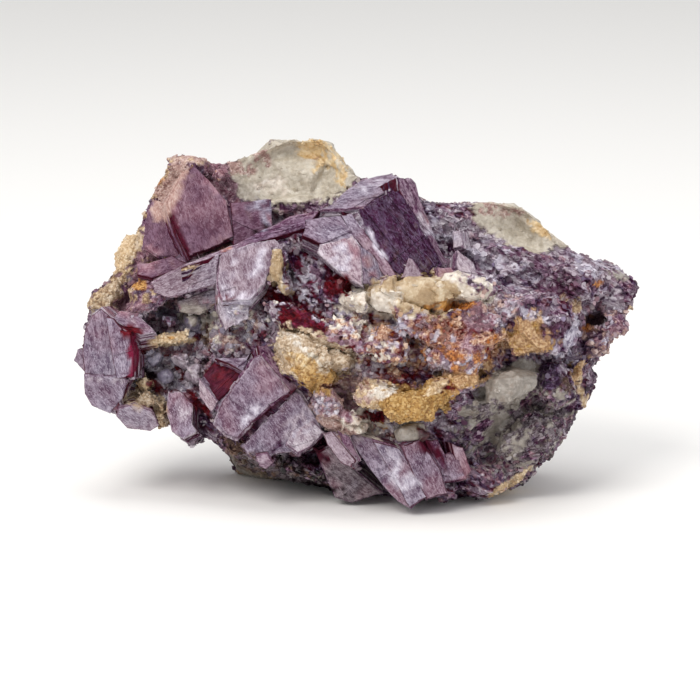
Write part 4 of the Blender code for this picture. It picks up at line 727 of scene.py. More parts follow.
GRAINS = {
    "mica_flakes": Grain("mica_mass", "flaky", 6, 0.12, 0.7, "loose mica flakes", "lepidolite",
                         "flake_size", "flake_number", 1.0),
    "feldspar_crumbs": Grain("mica_mass", "crumbly", 5, 0.6, 3.0, "feldspar crumbs", "feldspar",
                             "crumb_size", "crumb_number", 1.0),
    "crust_crumbs": Grain("feldspar_crust", "crumbly", 5, 0.6, 3.0, "feldspar crumbs", "feldspar",
                          "crumb_size", "crumb_number", 1.5),
    "broken_crystals": Grain("mica_mass", "broken", 9, 1.0, 3.0, "broken mica and quartz", "lepidolite",
                             "crystal_size", "crystal_number", 1.0),
}
GRAIN_LOOKS = {
    "loose mica flakes": (0.30, 1.57),
    "feldspar crumbs": (0.70, 1.53),
    "broken mica and quartz": (0.38, 1.55),
}
CRYSTAL_CORNERS = 9
SMALLEST_GRAIN = 0.35
PER_SQUARE_METRE = 1e4

# The stage, in metres: a floor, soft lamps with their power in watts, and an even pale sky
Light = namedtuple("Light", "name place size power colour")

LIGHTS = [
    Light("key", (-0.22, -0.34, 0.42), 0.30, 2.15, "FFFCF8"),
    Light("fill", (0.38, -0.30, 0.20), 0.40, 0.45, "F6F8FF"),
    Light("top", (0.02, 0.10, 0.50), 0.40, 1.0, "FFFFFF"),
]
LIT_PLACE = (0.0, 0.0, 0.02)
SKY_STRENGTH = 0.62
FLOOR_SIZE = 3.0


def linear(code):
    """The linear colour of an sRGB hex value."""
    shares = [int(code[place:place + 2], 16) / 255.0 for place in (0, 2, 4)]
    return tuple(s / 12.92 if s <= 0.04045 else ((s + 0.055) / 1.055) ** 2.4 for s in shares)


def colour_property(name, description, code):
    """A colour that a user can change, starting from a hex value."""
    return FloatVectorProperty(
        name=name, description=description, subtype="COLOR", size=3, min=0.0, max=1.0, default=linear(code))


def length_property(name, description, millimetres):
    """A length that a user can change."""
    return FloatProperty(
        name=name, description=description, default=millimetres * MM, min=SHORTEST * MM, unit="LENGTH",
        precision=5)


class LepidoliteSettings(bpy.types.PropertyGroup):
    """Sizes and colours of the stone's finish that a user would change."""

    mass_grain: length_property("Mass grain", "Spacing of the points on the stone's mass", 0.37)
    chunk_grain: length_property("Chunk grain", "Spacing of the points on quartz and feldspar chunks", 0.24)
    flake_size: length_property("Flake size", "Widest radius of a loose mica flake", 0.55)
    crumb_size: length_property("Crumb size", "Widest radius of a feldspar crumb", 0.36)
    crystal_size: length_property("Crystal size", "Widest radius of a broken crystal in a hollow", 0.62)
    flake_number: IntProperty(
        name="Flakes", description="Flakes per square centimetre where they lie thickest", default=150, min=0)
    crumb_number: IntProperty(
        name="Crumbs", description="Crumbs per square centimetre where they lie thickest", default=90, min=0)
    crystal_number: IntProperty(
        name="Crystals", description="Broken crystals per square centimetre where they lie thickest",
        default=240, min=0)
    seed: IntProperty(name="Seed", description="Start of every random draw", default=4, min=1)
    floor_colour: colour_property("Floor", "Colour of the floor that the stone rests on", "F4F3F1")


def world(right, up, toward):
    """The place, in millimetres, of a point given from the sight line in the viewer's own directions."""
    cos, sin = math.cos(VIEW_TILT), math.sin(VIEW_TILT)
    return Vector((
        right - BOX_CENTRE[0],
        up * sin - toward * cos - BOX_CENTRE[1],
        up * cos + toward * sin + SIGHT_HEIGHT,
    ))


def seen(right, up, toward):
    """The place of a point that is seen at (right, up) and lies toward millimetres nearer than the middle."""
    nearer = 1.0 - toward / EYE_DISTANCE
    return world(right * nearer, (up - SIGHT_UP) * nearer, toward)


def view_coordinates(points):
    """Where points in millimetres are seen: right of the sight line, up, and toward the viewer."""
    right, back, high = (points + np.array((*BOX_CENTRE, -SIGHT_HEIGHT))).T
    cos, sin = math.cos(VIEW_TILT), math.sin(VIEW_TILT)
    toward = high * sin - back * cos
    up = back * sin + high * cos
    nearer = 1.0 - toward / EYE_DISTANCE
    return np.stack((right / nearer, up / nearer + SIGHT_UP, toward), axis=1)


def hashed(cells, seed):
    """A steady value from 0 to 1 for each whole-numbered cell."""
    mixed = cells[..., 0] * 73856093 ^ cells[..., 1] * 19349663 ^ cells[..., 2] * 83492791 ^ seed * 2654435
    mixed = ((mixed ^ (mixed >> 13)) * 1274126177) & 0x7FFFFFFF
    mixed = ((mixed ^ (mixed >> 15)) * 668265263) & 0x7FFFFFFF
    return ((mixed ^ (mixed >> 12)) & 0xFFFFF) / float(0xFFFFF)


def soft_noise(points, size, seed):
    """Smooth noise from -1 to 1 whose swells are about size across."""
    scaled = points / size
    corner = np.floor(scaled).astype(np.int64)
    share = scaled - corner
    share = share * share * (3.0 - 2.0 * share)
    total = np.zeros(len(points))
    for step in np.ndindex(2, 2, 2):
        picked = np.where(np.array(step) == 1, share, 1.0 - share)
        total += picked.prod(axis=1) * hashed(corner + np.array(step), seed)
    return total * 2.0 - 1.0


def layered_noise(points, size, seed, layers=3):
    """Smooth noise with finer and weaker noise on it."""
    halvings = [2.0 ** layer for layer in range(layers)]
    return sum(soft_noise(points, size / share, seed + layer) / share for layer, share in enumerate(halvings))


def warped(points, size, seed):
    """A noise value for each of the two flat directions, to make an edge ragged."""
    return np.stack([layered_noise(points, size, seed + axis) for axis in range(2)], axis=1)


def grain_pattern(points, size, seed):
    """For each point, how near its grain's middle it is, from 1 to 0 at the edge, and the grain's value."""
    scaled = points / size
    corner = np.floor(scaled).astype(np.int64)
    nearest = np.full(len(points), np.inf)
    second = np.full(len(points), np.inf)
    value = np.zeros(len(points))
    for step in np.ndindex(3, 3, 3):
        cell = corner + np.array(step) - 1
        middle = cell + np.stack([hashed(cell, seed + axis) for axis in range(3)], axis=1)
        away = np.linalg.norm(middle - scaled, axis=1)
        closer = away < nearest
        second = np.where(closer, nearest, np.minimum(second, away))
        value = np.where(closer, hashed(cell, seed + 3), value)
        nearest = np.where(closer, away, nearest)
    return np.clip((second - nearest) * GRAIN_EDGE, 0.0, 1.0), value


def grain_relief(points, size, seed, dome, step):
    """Grains that stand out: each domed at its middle, and raised or sunk by chance."""
    near, value = grain_pattern(points, size, seed)
    return dome * (near - 0.5) + step * (value - 0.5)


def smooth_step(low, high, values):
    """Values turned to a smooth rise from 0 at low to 1 at high."""
    share = np.clip((values - low) / (high - low), 0.0, 1.0)
    return share * share * (3.0 - 2.0 * share)


def chance_of(seed, *counts):
    """A steady value from 0 to 1 for each combination of up to three whole numbers."""
    return hashed(np.stack((*counts, *[0 * counts[0]] * (3 - len(counts))), axis=1), seed)


def rolled(away, roll, radii=(1.0, 1.0)):
    """Flat places, from a rolled shape's middle, as shares of its radii along it and across it."""
    cos, sin = math.cos(math.radians(roll)), math.sin(math.radians(roll))
    return (away[:, 0] * cos + away[:, 1] * sin) / radii[0], (away[:, 1] * cos - away[:, 0] * sin) / radii[1]


def blended(values, target, weights):
    """Rows of numbers, each drawn toward a target by its own weight."""
    return values + (target - values) * weights[:, None]


def read(items, name, width, kind=np.float32):
    """A value that each part of a mesh has, as rows of numbers."""
    values = np.empty(len(items) * width, kind)
    items.foreach_get(name, values)
    return values.reshape(-1, width) if width > 1 else values


def coordinates(mesh):
    """A mesh's points as rows of numbers."""
    return read(mesh.vertices, "co", 3).astype(np.float64)


def normals_of(mesh):
    """The way that a mesh faces at each of its points."""
    return read(mesh.vertex_normals, "vector", 3).astype(np.float64)


def loop_corners(mesh):
    """The number of the point at each corner of each face."""
    return read(mesh.loops, "vertex_index", 1, np.int32)


def set_coordinates(mesh, points):
    """Moves a mesh's points."""
    mesh.vertices.foreach_set("co", points.astype(np.float32).ravel())
    mesh.update()


def new_object(name, held):
    """An object in the scene that holds a mesh, a lamp or a camera."""
    made = bpy.data.objects.new(name, held)
    bpy.context.scene.collection.objects.link(made)
    return made


def mesh_of(builder, name):
    """A mesh of what has been built."""
    mesh = bpy.data.meshes.new(name)
    builder.to_mesh(mesh)
    builder.free()
    return mesh


def evaluated_copy(made):
    """An object's mesh with its modifiers applied."""
    graph = bpy.context.evaluated_depsgraph_get()
    return bpy.data.meshes.new_from_object(made.evaluated_get(graph), depsgraph=graph)


def remeshed(mesh, spacing):
    """A closed skin with even points over everything in the mesh."""
    source = new_object("to remesh", mesh)
    remesh = source.modifiers.new("even points", "REMESH")
    remesh.mode = "VOXEL"
    remesh.voxel_size = spacing
    made = evaluated_copy(source)
    bpy.data.objects.remove(source)
    bpy.data.meshes.remove(mesh)
    return made


def worn(mesh, points, amounts):
    """Points drawn toward their neighbours and nearly back again and again, so that creases wear down."""
    edges = read(mesh.edges, "vertices", 2, np.int32)
    starts, ends = np.concatenate((edges, edges[:, ::-1])).T
    count = np.bincount(starts, minlength=len(points))[:, None]
    for step in range(WEAR_STEPS):
        around = np.stack([np.bincount(starts, points[ends, axis], len(points)) for axis in range(3)], axis=1)
        back = 1.0 if step % 2 == 0 else -WEAR_BACK
        points = points + (around / count - points) * (amounts * back)[:, None]
    return points


def merged_solid():
    """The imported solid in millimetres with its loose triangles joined, and its surface to find places on."""
    builder = bmesh.new()
    builder.from_mesh(frame["nodes"][NODE].data)
    bmesh.ops.scale(builder, vec=(1.0 / MM,) * 3, verts=builder.verts)
    bmesh.ops.remove_doubles(builder, verts=builder.verts, dist=0.001)
    solid = mesh_of(builder, "solid")
    return solid, BVHTree.FromPolygons([v.co for v in solid.vertices], [p.vertices for p in solid.polygons])


def stain_depths(surface):
    """How far toward the viewer each stain lies, from where the line of sight meets the stone."""
    depths = []
    for stain in STAINS:
        near, far = seen(*stain.middle, 60.0), seen(*stain.middle, -60.0)
        hit = surface.ray_cast(near, (far - near).normalized())[0]
        if hit is None:
            hit = surface.find_nearest(seen(*stain.middle, 0.0))[0]
        depths.append(view_coordinates(np.array([hit]))[0, 2])
    return depths


def stone_depths():
    """The stains' depths, for a piece that does not need the solid itself."""
    solid, surface = merged_solid()
    bpy.data.meshes.remove(solid)
    return stain_depths(surface)


def coat_of(mineral):
    """A mineral as one row of numbers, in the order that the columns of a coat have."""
    chosen = MINERALS[mineral]
    return np.array((
        *linear(chosen.colour), *linear(chosen.shade), *linear(chosen.glint),
        chosen.dark, chosen.pale, 0.0, chosen.rough, chosen.flaky, chosen.crumbly, chosen.rugged,
        *(float(chosen.kind == kind) for kind in KINDS), 0.0))


def stained(points, coats, depths):
    """Lays the stains over the coats of the points that they reach, grain by grain at their edges."""
    places = view_coordinates(points)
    warp = warped(points, STAIN_WARP_SIZE, seed=70)
    _, value = grain_pattern(points, STAIN_GRAIN, seed=75)
    for number, (stain, depth) in enumerate(zip(STAINS, depths)):
        wide, narrow = max(stain.radii), min(stain.radii)
        away = places[:, :2] - stain.middle
        near = np.abs(away).max(axis=1) < wide * STAIN_REACH + STAIN_WARP
        near &= np.abs(places[:, 2] - depth) < STAIN_DEPTH * 2.0 + wide
        if not near.any():
            continue
        away = away[near] + warp[near] * min(STAIN_WARP, narrow * STAIN_BEND)
        reach = np.hypot(*rolled(away, stain.roll, stain.radii))
        weight = stain.strength * smooth_step(*STAIN_EDGE, reach)
        deep = np.abs(places[near, 2] - depth) - wide * STAIN_BULGE
        weight *= smooth_step(STAIN_DEPTH * 2.0, STAIN_DEPTH, deep)
        chance = (value[near] + number * GOLDEN_SHARE) % 1.0 - 0.5
        weight = smooth_step(*STAIN_CRISPNESS, weight + STAIN_MIX * chance * (weight < 1.0))
        coats[near] = blended(coats[near], coat_of(stain.mineral), weight)
    return coats


def write_coats(mesh, coats):
    """Keeps the coats on the mesh's points, for its material and for what is strewn on it."""
    for name, columns in (("colour", COLOUR), ("shade", SHADE), ("glint", GLINT), ("pattern", PATTERN)):
        values = np.ones((len(coats), 4))
        values[:, :columns.stop - columns.start] = coats[:, columns]
        layer = mesh.color_attributes.new(name, "FLOAT_COLOR", "POINT")
        layer.data.foreach_set("color", values.astype(np.float32).ravel())
    for name, column in (("flaky", FLAKY), ("crumbly", CRUMBLY), ("broken", BROKEN)):
        layer = mesh.attributes.new(name, "FLOAT", "POINT")
        layer.data.foreach_set("value", coats[:, column].astype(np.float32))


def write_grain(mesh, corners):
    """Keeps, for each corner of each face, where it lies across, along and into the sheets, in flakes."""
    layer = mesh.attributes.new("grain", "FLOAT_VECTOR", "CORNER")
    layer.data.foreach_set("vector", corners.astype(np.float32).ravel())


def placed(name, mesh, scale=1.0):
    """A piece as it stays: in metres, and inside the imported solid's box."""
    low, high = (np.array(corner) for corner in CAD_BOX)
    set_coordinates(mesh, np.clip(coordinates(mesh) * scale, low, high))
    return new_object(name, mesh)


def finished(name, mesh, materials, smooth=False):
    """A piece placed from a mesh in millimetres, with the materials of those names."""
    piece = placed(name, mesh, MM)
    mesh.polygons.foreach_set("use_smooth", [smooth] * len(mesh.polygons))
    mesh.materials.clear()
    for material in materials:
        mesh.materials.append(material_named(material))
    return piece


def hand_in(piece, slot):
    """Lets a piece ride on the stone's body. The slot that it is given is not used."""
    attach(piece, BODY)


def give(tree, node, inputs):
    """Gives each input a value, or a link from a socket or from the first output that a node has in use."""
    for name, value in inputs.items():
        socket = node.inputs[name]
        if isinstance(value, bpy.types.Node):
            value = next(output for output in value.outputs if output.enabled)
        if isinstance(value, bpy.types.NodeSocket):
            tree.links.new(value, socket)
        else:
            socket.default_value = value


def add(tree, kind, inputs=None, **settings):
    """Adds a node with its settings and its inputs."""
    node = tree.nodes.new(kind)
    for name, value in settings.items():
        setattr(node, name, value)
    give(tree, node, inputs or {})
    return node


def math_node(tree, operation, *numbers):
    """A number worked out from others."""
    return add(tree, "ShaderNodeMath", dict(enumerate(numbers)), operation=operation)


def vector_node(tree, operation, *vectors):
    """A vector worked out from others."""
    return add(tree, "ShaderNodeVectorMath", dict(enumerate(vectors)), operation=operation)


def ranged(tree, number, low, high, first=0.0, last=1.0):
    """A number that runs from first to last while another runs from low to high."""
    return add(tree, "ShaderNodeMapRange", {
        "Value": number, "From Min": low, "From Max": high, "To Min": first, "To Max": last})


# A Mix node has its two numbers as inputs 2 and 3, and its two colours as inputs 6 and 7
def mixed(tree, share, low, high):
    """A number between two others."""
    return add(tree, "ShaderNodeMix", {0: share, 2: low, 3: high})


def tinted(tree, share, colour, tint):
    """A colour drawn to another by a share."""
    return add(tree, "ShaderNodeMix", {0: share, 6: colour, 7: tint}, data_type="RGBA")


def attribute(tree, name):
    """What a mesh keeps under a name."""
    return add(tree, "ShaderNodeAttribute", attribute_name=name)


def new_material(name):
    """A new material, its node tree and its shader."""
    material = bpy.data.materials.new(name)
    material.use_nodes = True
    tree = material.node_tree
    return material, tree, tree.nodes["Principled BSDF"]


def toned(tree, low, high):
    """A piece's own colour, drawn to its darker tone by low and to its paler tone by high."""
    own, shade, glint = (attribute(tree, name) for name in ("colour", "shade", "glint"))
    return tinted(tree, high, tinted(tree, low, own, shade), glint)


def flecked(tree, pattern, weights):
    """A piece's own colour with darker flecks where the pattern is low and paler ones where it is high."""
    darks = math_node(tree, "MULTIPLY_ADD", weights.outputs["Red"], -FLECK_SHARE, pattern)
    pales = math_node(tree, "MULTIPLY_ADD", weights.outputs["Green"], FLECK_SHARE, pattern)
    return toned(tree, ranged(tree, darks, 0.42, 0.18), ranged(tree, pales, 0.60, 0.90))


def mica_shine(tree, grain, sparks, pale):
    """How strongly painted highlights show in mica: fine threads, single flakes and veins of its paler colour
    that stand in for glints, most where it is pale.
    """
    threads = vector_node(tree, "MULTIPLY", grain, (1.0, THREAD_STRETCH, 1.0))
    thread = add(tree, "ShaderNodeTexNoise", {"Vector": threads, "Scale": 0.9, "Detail": 1.0})
    thread = ranged(tree, thread, 0.66, 0.72)
    spark = ranged(tree, sparks, 0.92, 0.97)
    vein = add(tree, "ShaderNodeTexNoise", {
        "Vector": grain, "Scale": VEIN_SCALE, "Detail": 3.0, "Roughness": 0.6, "Distortion": 0.4})
    vein = math_node(tree, "COMPARE", vein, 0.5, VEIN_WIDTH)
    vein = math_node(tree, "MULTIPLY", vein, VEIN_STRENGTH)
    shine = math_node(tree, "MAXIMUM", thread, spark)
    shine = math_node(tree, "MAXIMUM", shine, vein)
    bright = ranged(tree, pale, 0.0, 1.0, SHINE_LEAST)
    return math_node(tree, "MULTIPLY", shine, bright)


def mica_facing(tree, cells, amount):
    """The way that mica faces, with each flake tipped by chance."""
    tilt = vector_node(tree, "SUBTRACT", cells, (0.5, 0.5, 0.5))
    tilt = add(tree, "ShaderNodeVectorMath", {0: tilt, "Scale": amount}, operation="SCALE")
    facing = add(tree, "ShaderNodeNewGeometry").outputs["Normal"]
    return vector_node(tree, "NORMALIZE", vector_node(tree, "ADD", facing, tilt))


def mica_material(name):
    """Lepidolite, a lilac mica split along its sheets.

    It shows a soft pearly gloss, fine streaks along the sheets' grain, and glints from single flakes that tip
    toward the light. The grain attribute counts in flakes, so that one pattern serves broad faces and edges.
    """
    material, tree, shader = new_material(name)
    place = add(tree, "ShaderNodeTexCoord").outputs["Object"]
    grain = attribute(tree, "grain").outputs["Vector"]
    weights = attribute(tree, "pattern")
    split = add(tree, "ShaderNodeSeparateColor", {"Color": weights})

    stray = add(tree, "ShaderNodeTexNoise", {"Vector": place, "Scale": 1.0 / (1.6 * MM), "Detail": 3.0})
    stray = add(tree, "ShaderNodeVectorMath", {0: stray.outputs["Color"], "Scale": FLAKE_STRAY},
                operation="SCALE")
    grain = vector_node(tree, "ADD", grain, stray)
    cells = add(tree, "ShaderNodeTexVoronoi", {"Vector": grain, "Scale": 1.0}).outputs["Color"]
    fine_cells = add(tree, "ShaderNodeTexVoronoi", {"Vector": grain, "Scale": 2.3}).outputs["Color"]
    cell_tone = add(tree, "ShaderNodeSeparateColor", {"Color": cells})
    fine_tone = add(tree, "ShaderNodeSeparateColor", {"Color": fine_cells})
    streaks = add(tree, "ShaderNodeTexNoise", {
        "Vector": grain, "Scale": 0.8, "Detail": 5.0, "Roughness": 0.72})
    flecks = add(tree, "ShaderNodeTexNoise", {
        "Vector": place, "Scale": 1.0 / (FLECK_WIDTH * MM), "Detail": 5.0, "Roughness": 0.62})
    grainy = mixed(tree, 0.40, cell_tone, fine_tone)
    soft = mixed(tree, FLECK_WEIGHT, streaks, flecks)
    pattern = mixed(tree, split.outputs["Blue"], soft, grainy)

    shine = mica_shine(tree, grain, fine_tone.outputs["Green"], split.outputs["Green"])
    glint = attribute(tree, "glint")
    # Painted highlights: the shine draws the base colour to the paler glint colour in threads, sparks and
    # veins
    colour = tinted(tree, shine, flecked(tree, pattern, split), glint)

    tilted = mica_facing(tree, cells, split.outputs["Blue"])
    bump = add(tree, "ShaderNodeBump", {
        "Height": pattern, "Strength": 0.6, "Distance": 0.15 * MM, "Normal": tilted})
    rough = ranged(tree, pattern, 0.3, 0.7, 0.14, -0.14)
    rough = math_node(tree, "ADD", rough, weights.outputs["Alpha"])
    give(tree, shader, {
        "Base Color": colour, "Normal": bump, "Roughness": rough, "IOR": 1.57, "Specular IOR Level": 0.12,
        "Specular Tint": (*linear("D8A8CC"), 1.0)})
    return material


def chunk_material(name, cloud, chip_width, chip_share, bump, inside):
    """Quartz or feldspar: clouds and single chips of other tones, and light that goes some way in."""
    material, tree, shader = new_material(name)
    place = add(tree, "ShaderNodeTexCoord").outputs["Object"]
    weights = attribute(tree, "pattern")
    split = add(tree, "ShaderNodeSeparateColor", {"Color": weights})
    clouds = add(tree, "ShaderNodeTexNoise", {"Vector": place, **cloud})
    chips = add(tree, "ShaderNodeTexVoronoi", {"Vector": place, "Scale": 1.0 / (chip_width * MM)})
    chip_tone = add(tree, "ShaderNodeSeparateColor", {"Color": chips.outputs["Color"]})
    pattern = mixed(tree, chip_share, clouds, chip_tone)
    height = math_node(tree, "SUBTRACT", pattern, chips.outputs["Distance"])
    give(tree, shader, {
        "Base Color": flecked(tree, pattern, split), "Roughness": weights.outputs["Alpha"],
        "Normal": add(tree, "ShaderNodeBump", {"Height": height, **bump}), **inside})
    return material


def feldspar_material(name):
    """Albite feldspar, weathered and stained by iron: a dull sugary crust that lets a little light in."""
    return chunk_material(
        name, {"Scale": 1.0 / (1.0 * MM), "Detail": 6.0, "Roughness": 0.72},
        SUGAR_WIDTH, 0.35, {"Strength": 0.6, "Distance": 0.14 * MM},
        {"IOR": 1.53, "Subsurface Weight": 0.12, "Subsurface Radius": (1.0, 0.8, 0.6),
         "Subsurface Scale": 0.6 * MM})


def quartz_material(name):
    """Milky quartz: cloudy and greyish, with a wet gloss on its broken faces and light going some way in."""
    return chunk_material(
        name, {"Scale": 1.0 / (2.2 * MM), "Detail": 8.0, "Roughness": 0.68, "Distortion": 0.8},
        CHIP_WIDTH, 0.12, {"Strength": 0.5, "Distance": 0.12 * MM},
        {"IOR": 1.544, "Subsurface Weight": 0.3, "Subsurface Radius": (1.0, 0.92, 0.85),
         "Subsurface Scale": 1.0 * MM})


def grain_material(name):
    """A loose grain: one tone per grain, between the paler and the darker flecks of what it lies on."""
    material, tree, shader = new_material(name)
    chance = attribute(tree, "chance").outputs["Fac"]
    low = ranged(tree, chance, 0.4, 0.0, 0.0, 0.7)
    high = ranged(tree, chance, 0.55, 1.0, 0.0, 0.8)
    roughness, ior = GRAIN_LOOKS[name]
    give(tree, shader, {"Base Color": toned(tree, low, high), "Roughness": roughness, "IOR": ior})
    return material


def face_points(crystal):
    """The corners of a crystal's flat face and the way that it faces."""
    count = len(crystal.outline)
    middle_right = sum(right for right, up in crystal.outline) / count
    middle_up = sum(up for right, up in crystal.outline) / count - SIGHT_UP
    nearer = 1.0 - crystal.toward / EYE_DISTANCE
    points = []
    for right, up in crystal.outline:
        from_middle = math.hypot(right - middle_right, up - SIGHT_UP - middle_up)
        reach = 1.0 + INTERGROWTH / from_middle
        right = middle_right + (right - middle_right) * reach
        up = middle_up + (up - SIGHT_UP - middle_up) * reach
        along = EYE_DISTANCE - crystal.toward + nearer * (
            crystal.turn * middle_right + crystal.lean * middle_up)
        along /= EYE_DISTANCE + crystal.turn * right + crystal.lean * up
        points.append(world(right * along, up * along, EYE_DISTANCE * (1.0 - along)))
    outward = world(-crystal.turn, -crystal.lean, 1.0) - world(0.0, 0.0, 0.0)
    return points, outward.normalized()


def crystal_frame(crystal):
    """A crystal's middle, its directions across its grain, along it and outward, and its outline in them."""
    corners, outward = face_points(crystal)
    middle = sum(corners, Vector()) / len(corners)
    angle = math.radians(crystal.grain)
    along = world(math.cos(angle), math.sin(angle), 0.0) - world(0.0, 0.0, 0.0)
    along = (along - outward * along.dot(outward)).normalized()
    axes = np.array((along.cross(outward), along, outward))
    outline = (np.array(corners) - np.array(middle)) @ axes[:2].T
    return np.array(middle), axes, outline


def outline_sides(outline, points):
    """For flat points, how far outside an outline they are, and the way out past its nearest side.

    The distance is negative inside. The way out holds where the outline runs counter-clockwise.
    """
    nearest = np.full(len(points), np.inf)
    outward = np.zeros((len(points), 2))
    inside = np.zeros(len(points), bool)
    for start, end in zip(outline, np.roll(outline, -1, axis=0)):
        side = end - start
        share = np.clip((points - start) @ side / (side @ side), 0.0, 1.0)
        away = np.linalg.norm(points - start - share[:, None] * side, axis=1)
        closer = away < nearest
        nearest[closer] = away[closer]
        outward[closer] = np.array((side[1], -side[0])) / np.linalg.norm(side)
        crosses = (start[1] > points[:, 1]) != (end[1] > points[:, 1])
        rise = side[1] if abs(side[1]) > 1e-9 else 1e-9
        inside ^= crosses & (points[:, 0] < start[0] + (points[:, 1] - start[1]) * side[0] / rise)
    return np.where(inside, -nearest, nearest), outward


def lump_reach(places, lump):
    """How far points are from a lump's middle, in its own radii, from where they are seen."""
    away = places - (np.array(lump.middle) - (0.0, 0.0, LUMP_SINK))
    side, height = rolled(away, lump.roll, lump.radii)
    return np.sqrt(side ** 2 + height ** 2 + (away[:, 2] / lump.radii[2]) ** 2)


def boxy(share):
    """A share of a radius, pushed outward so that a ball of such shares has flatter sides."""
    return math.copysign(abs(share) ** LUMP_BOXINESS, share)


def spread_corners(count, dice, twist):
    """Corners spread over a ball of one unit: how far round each is, how wide the ball is there, how deep."""
    for index in range(count):
        depth = 1.0 - 2.0 * (index + 0.5) / count
        yield index * GOLDEN_ANGLE + dice.uniform(-twist, twist), math.sqrt(1.0 - depth * depth), depth


def add_chunk(builder, lump):
    """A broken chunk: the flat-sided skin round corners that are spread unevenly over a rounded box."""
    corners = SMALL_LUMP_CORNERS if max(lump.radii[:2]) < SMALL_LUMP else LARGE_LUMP_CORNERS
    dice = random.Random(lump.name)
    roll = math.radians(lump.roll)
    right, up, toward = lump.middle
    points = []
    for angle, around, depth in spread_corners(corners, dice, LUMP_TWIST):
        swollen = 1.0 + dice.uniform(-LUMP_ROUGHNESS, LUMP_ROUGHNESS)
        side = boxy(around * math.cos(angle)) * lump.radii[0] * swollen
        height = boxy(around * math.sin(angle)) * lump.radii[1] * swollen
        points.append(builder.verts.new(seen(
            right + side * math.cos(roll) - height * math.sin(roll),
            up + side * math.sin(roll) + height * math.cos(roll),
            toward - LUMP_SINK + boxy(depth) * lump.radii[2] * swollen,
        )))
    skin = bmesh.ops.convex_hull(builder, input=points)
    inside = [part for part in skin["geom_interior"] if isinstance(part, bmesh.types.BMVert)]
    bmesh.ops.delete(builder, geom=inside, context="VERTS")


def covered(points):
    """Which points of the mass lie under a book or a chunk, and how close the others are to one."""
    hidden = np.zeros(len(points), bool)
    fillet = np.zeros(len(points))
    for crystal in itertools.chain(*BOOKS.values()):
        middle, axes, outline = crystal_frame(crystal)
        local = (points - middle) @ axes.T
        near = np.abs(local[:, :2]).max(axis=1) < np.abs(outline).max() + FILLET
        near &= (local[:, 2] < COVER_MARGIN) & (local[:, 2] > -BOOK_DEPTH)
        away, _ = outline_sides(outline, local[near, :2])
        hidden[near] |= away < COVER_MARGIN
        below = smooth_step(*FILLET_FALL, local[near, 2])
        fillet[near] = np.maximum(fillet[near], smooth_step(FILLET, FILLET_FULL, away) * below)
    places = view_coordinates(points)
    for lump in QUARTZ_LUMPS + FELDSPAR_LUMPS:
        reach = lump_reach(places, lump)
        hidden |= reach < CHUNK_COVER
        fillet = np.maximum(fillet, CHUNK_FILLET * smooth_step(*CHUNK_FOOT, reach))
    return hidden, fillet


def mass_zones(points):
    """Each point of the mass's mixture, and where it lies counted in grains along its foliation."""
    places = view_coordinates(points)
    _, value = grain_pattern(points, STAIN_GRAIN, seed=66)
    zone = np.zeros(len(points), int)
    warp = warped(points, ZONE_WARP_SIZE, seed=20)
    for number, area in enumerate(ZONES, 1):
        ragged = RAGGED_ZONE if len(MIXTURES[area.mixture].parts) > 1 else RAGGED_QUARTZ
        reach = np.hypot(*rolled(places[:, :2] + warp - area.middle, area.roll, area.radii))
        zone[(reach + ragged * (value - 0.5) < 1.0) & (places[:, 2] > area.back)] = number
    grains = np.empty(points.shape)
    for number, area in enumerate([EVERYWHERE] + ZONES):
        chosen = zone == number
        along, across = rolled(places[chosen], area.roll)
        grains[chosen] = np.stack((across, along, places[chosen, 2]), axis=1) / MIXTURES[area.mixture].grain
    return zone, grains


def mass_coats(points, zone, grains, value, depths):
    """The coats of the mass: each grain is of one mineral of its zone's mixture, and stains lie over them."""
    places = view_coordinates(points)
    drift = layered_noise(grains, DRIFT_SIZE, seed=30)
    picked = np.clip(value + DRIFT * drift, 0.0, 0.999)
    coats = np.empty((len(points), COAT_WIDTH))
    for number, area in enumerate([EVERYWHERE] + ZONES):
        chosen = zone == number
        mixture = MIXTURES[area.mixture]
        ends = np.cumsum(list(mixture.parts.values())) / sum(mixture.parts.values())
        kinds = np.minimum(np.searchsorted(ends, picked[chosen]), len(ends) - 1)
        coats[chosen] = np.array([coat_of(mineral) for mineral in mixture.parts])[kinds]
        coats[chosen, BROKEN] = mixture.rubble
    behind = smooth_step(*FAR_SIDE, places[:, 2])
    patches = layered_noise(points, FAR_PATCH_SIZE, seed=50) + FAR_PATCH_DRIFT * drift
    for mineral, low in FAR_PATCHES.items():
        coats = blended(coats, coat_of(mineral), behind * smooth_step(low, low + FAR_PATCH_EDGE, patches))
    reach = np.full(len(points), np.inf)
    nearest = np.zeros(coats.shape)
    for lump in QUARTZ_LUMPS + FELDSPAR_LUMPS:
        away = lump_reach(places, lump)
        closer = away < reach
        reach[closer] = away[closer]
        nearest[closer] = coat_of(lump.mineral)
    halo = reach + HALO_RAGGED * (value * REDRAW % 1.0 - 0.5) < HALO
    coats[halo] = nearest[halo]
    return stained(points, coats, depths)


def thin_out(piece, chosen):
    """Fewer, larger triangles on the chosen points of a piece, where its front does not show them."""
    group = piece.vertex_groups.new(name="thinned")
    group.add(np.flatnonzero(chosen).tolist(), 1.0, "REPLACE")
    thinning = piece.modifiers.new("thinned", "DECIMATE")
    thinning.vertex_group = group.name
    thinning.ratio = THINNED_TRIANGLES / (2 * len(piece.data.polygons))
    thick = piece.data
    piece.data = evaluated_copy(piece)
    piece.modifiers.remove(thinning)
    piece.vertex_groups.clear()
    bpy.data.meshes.remove(thick)


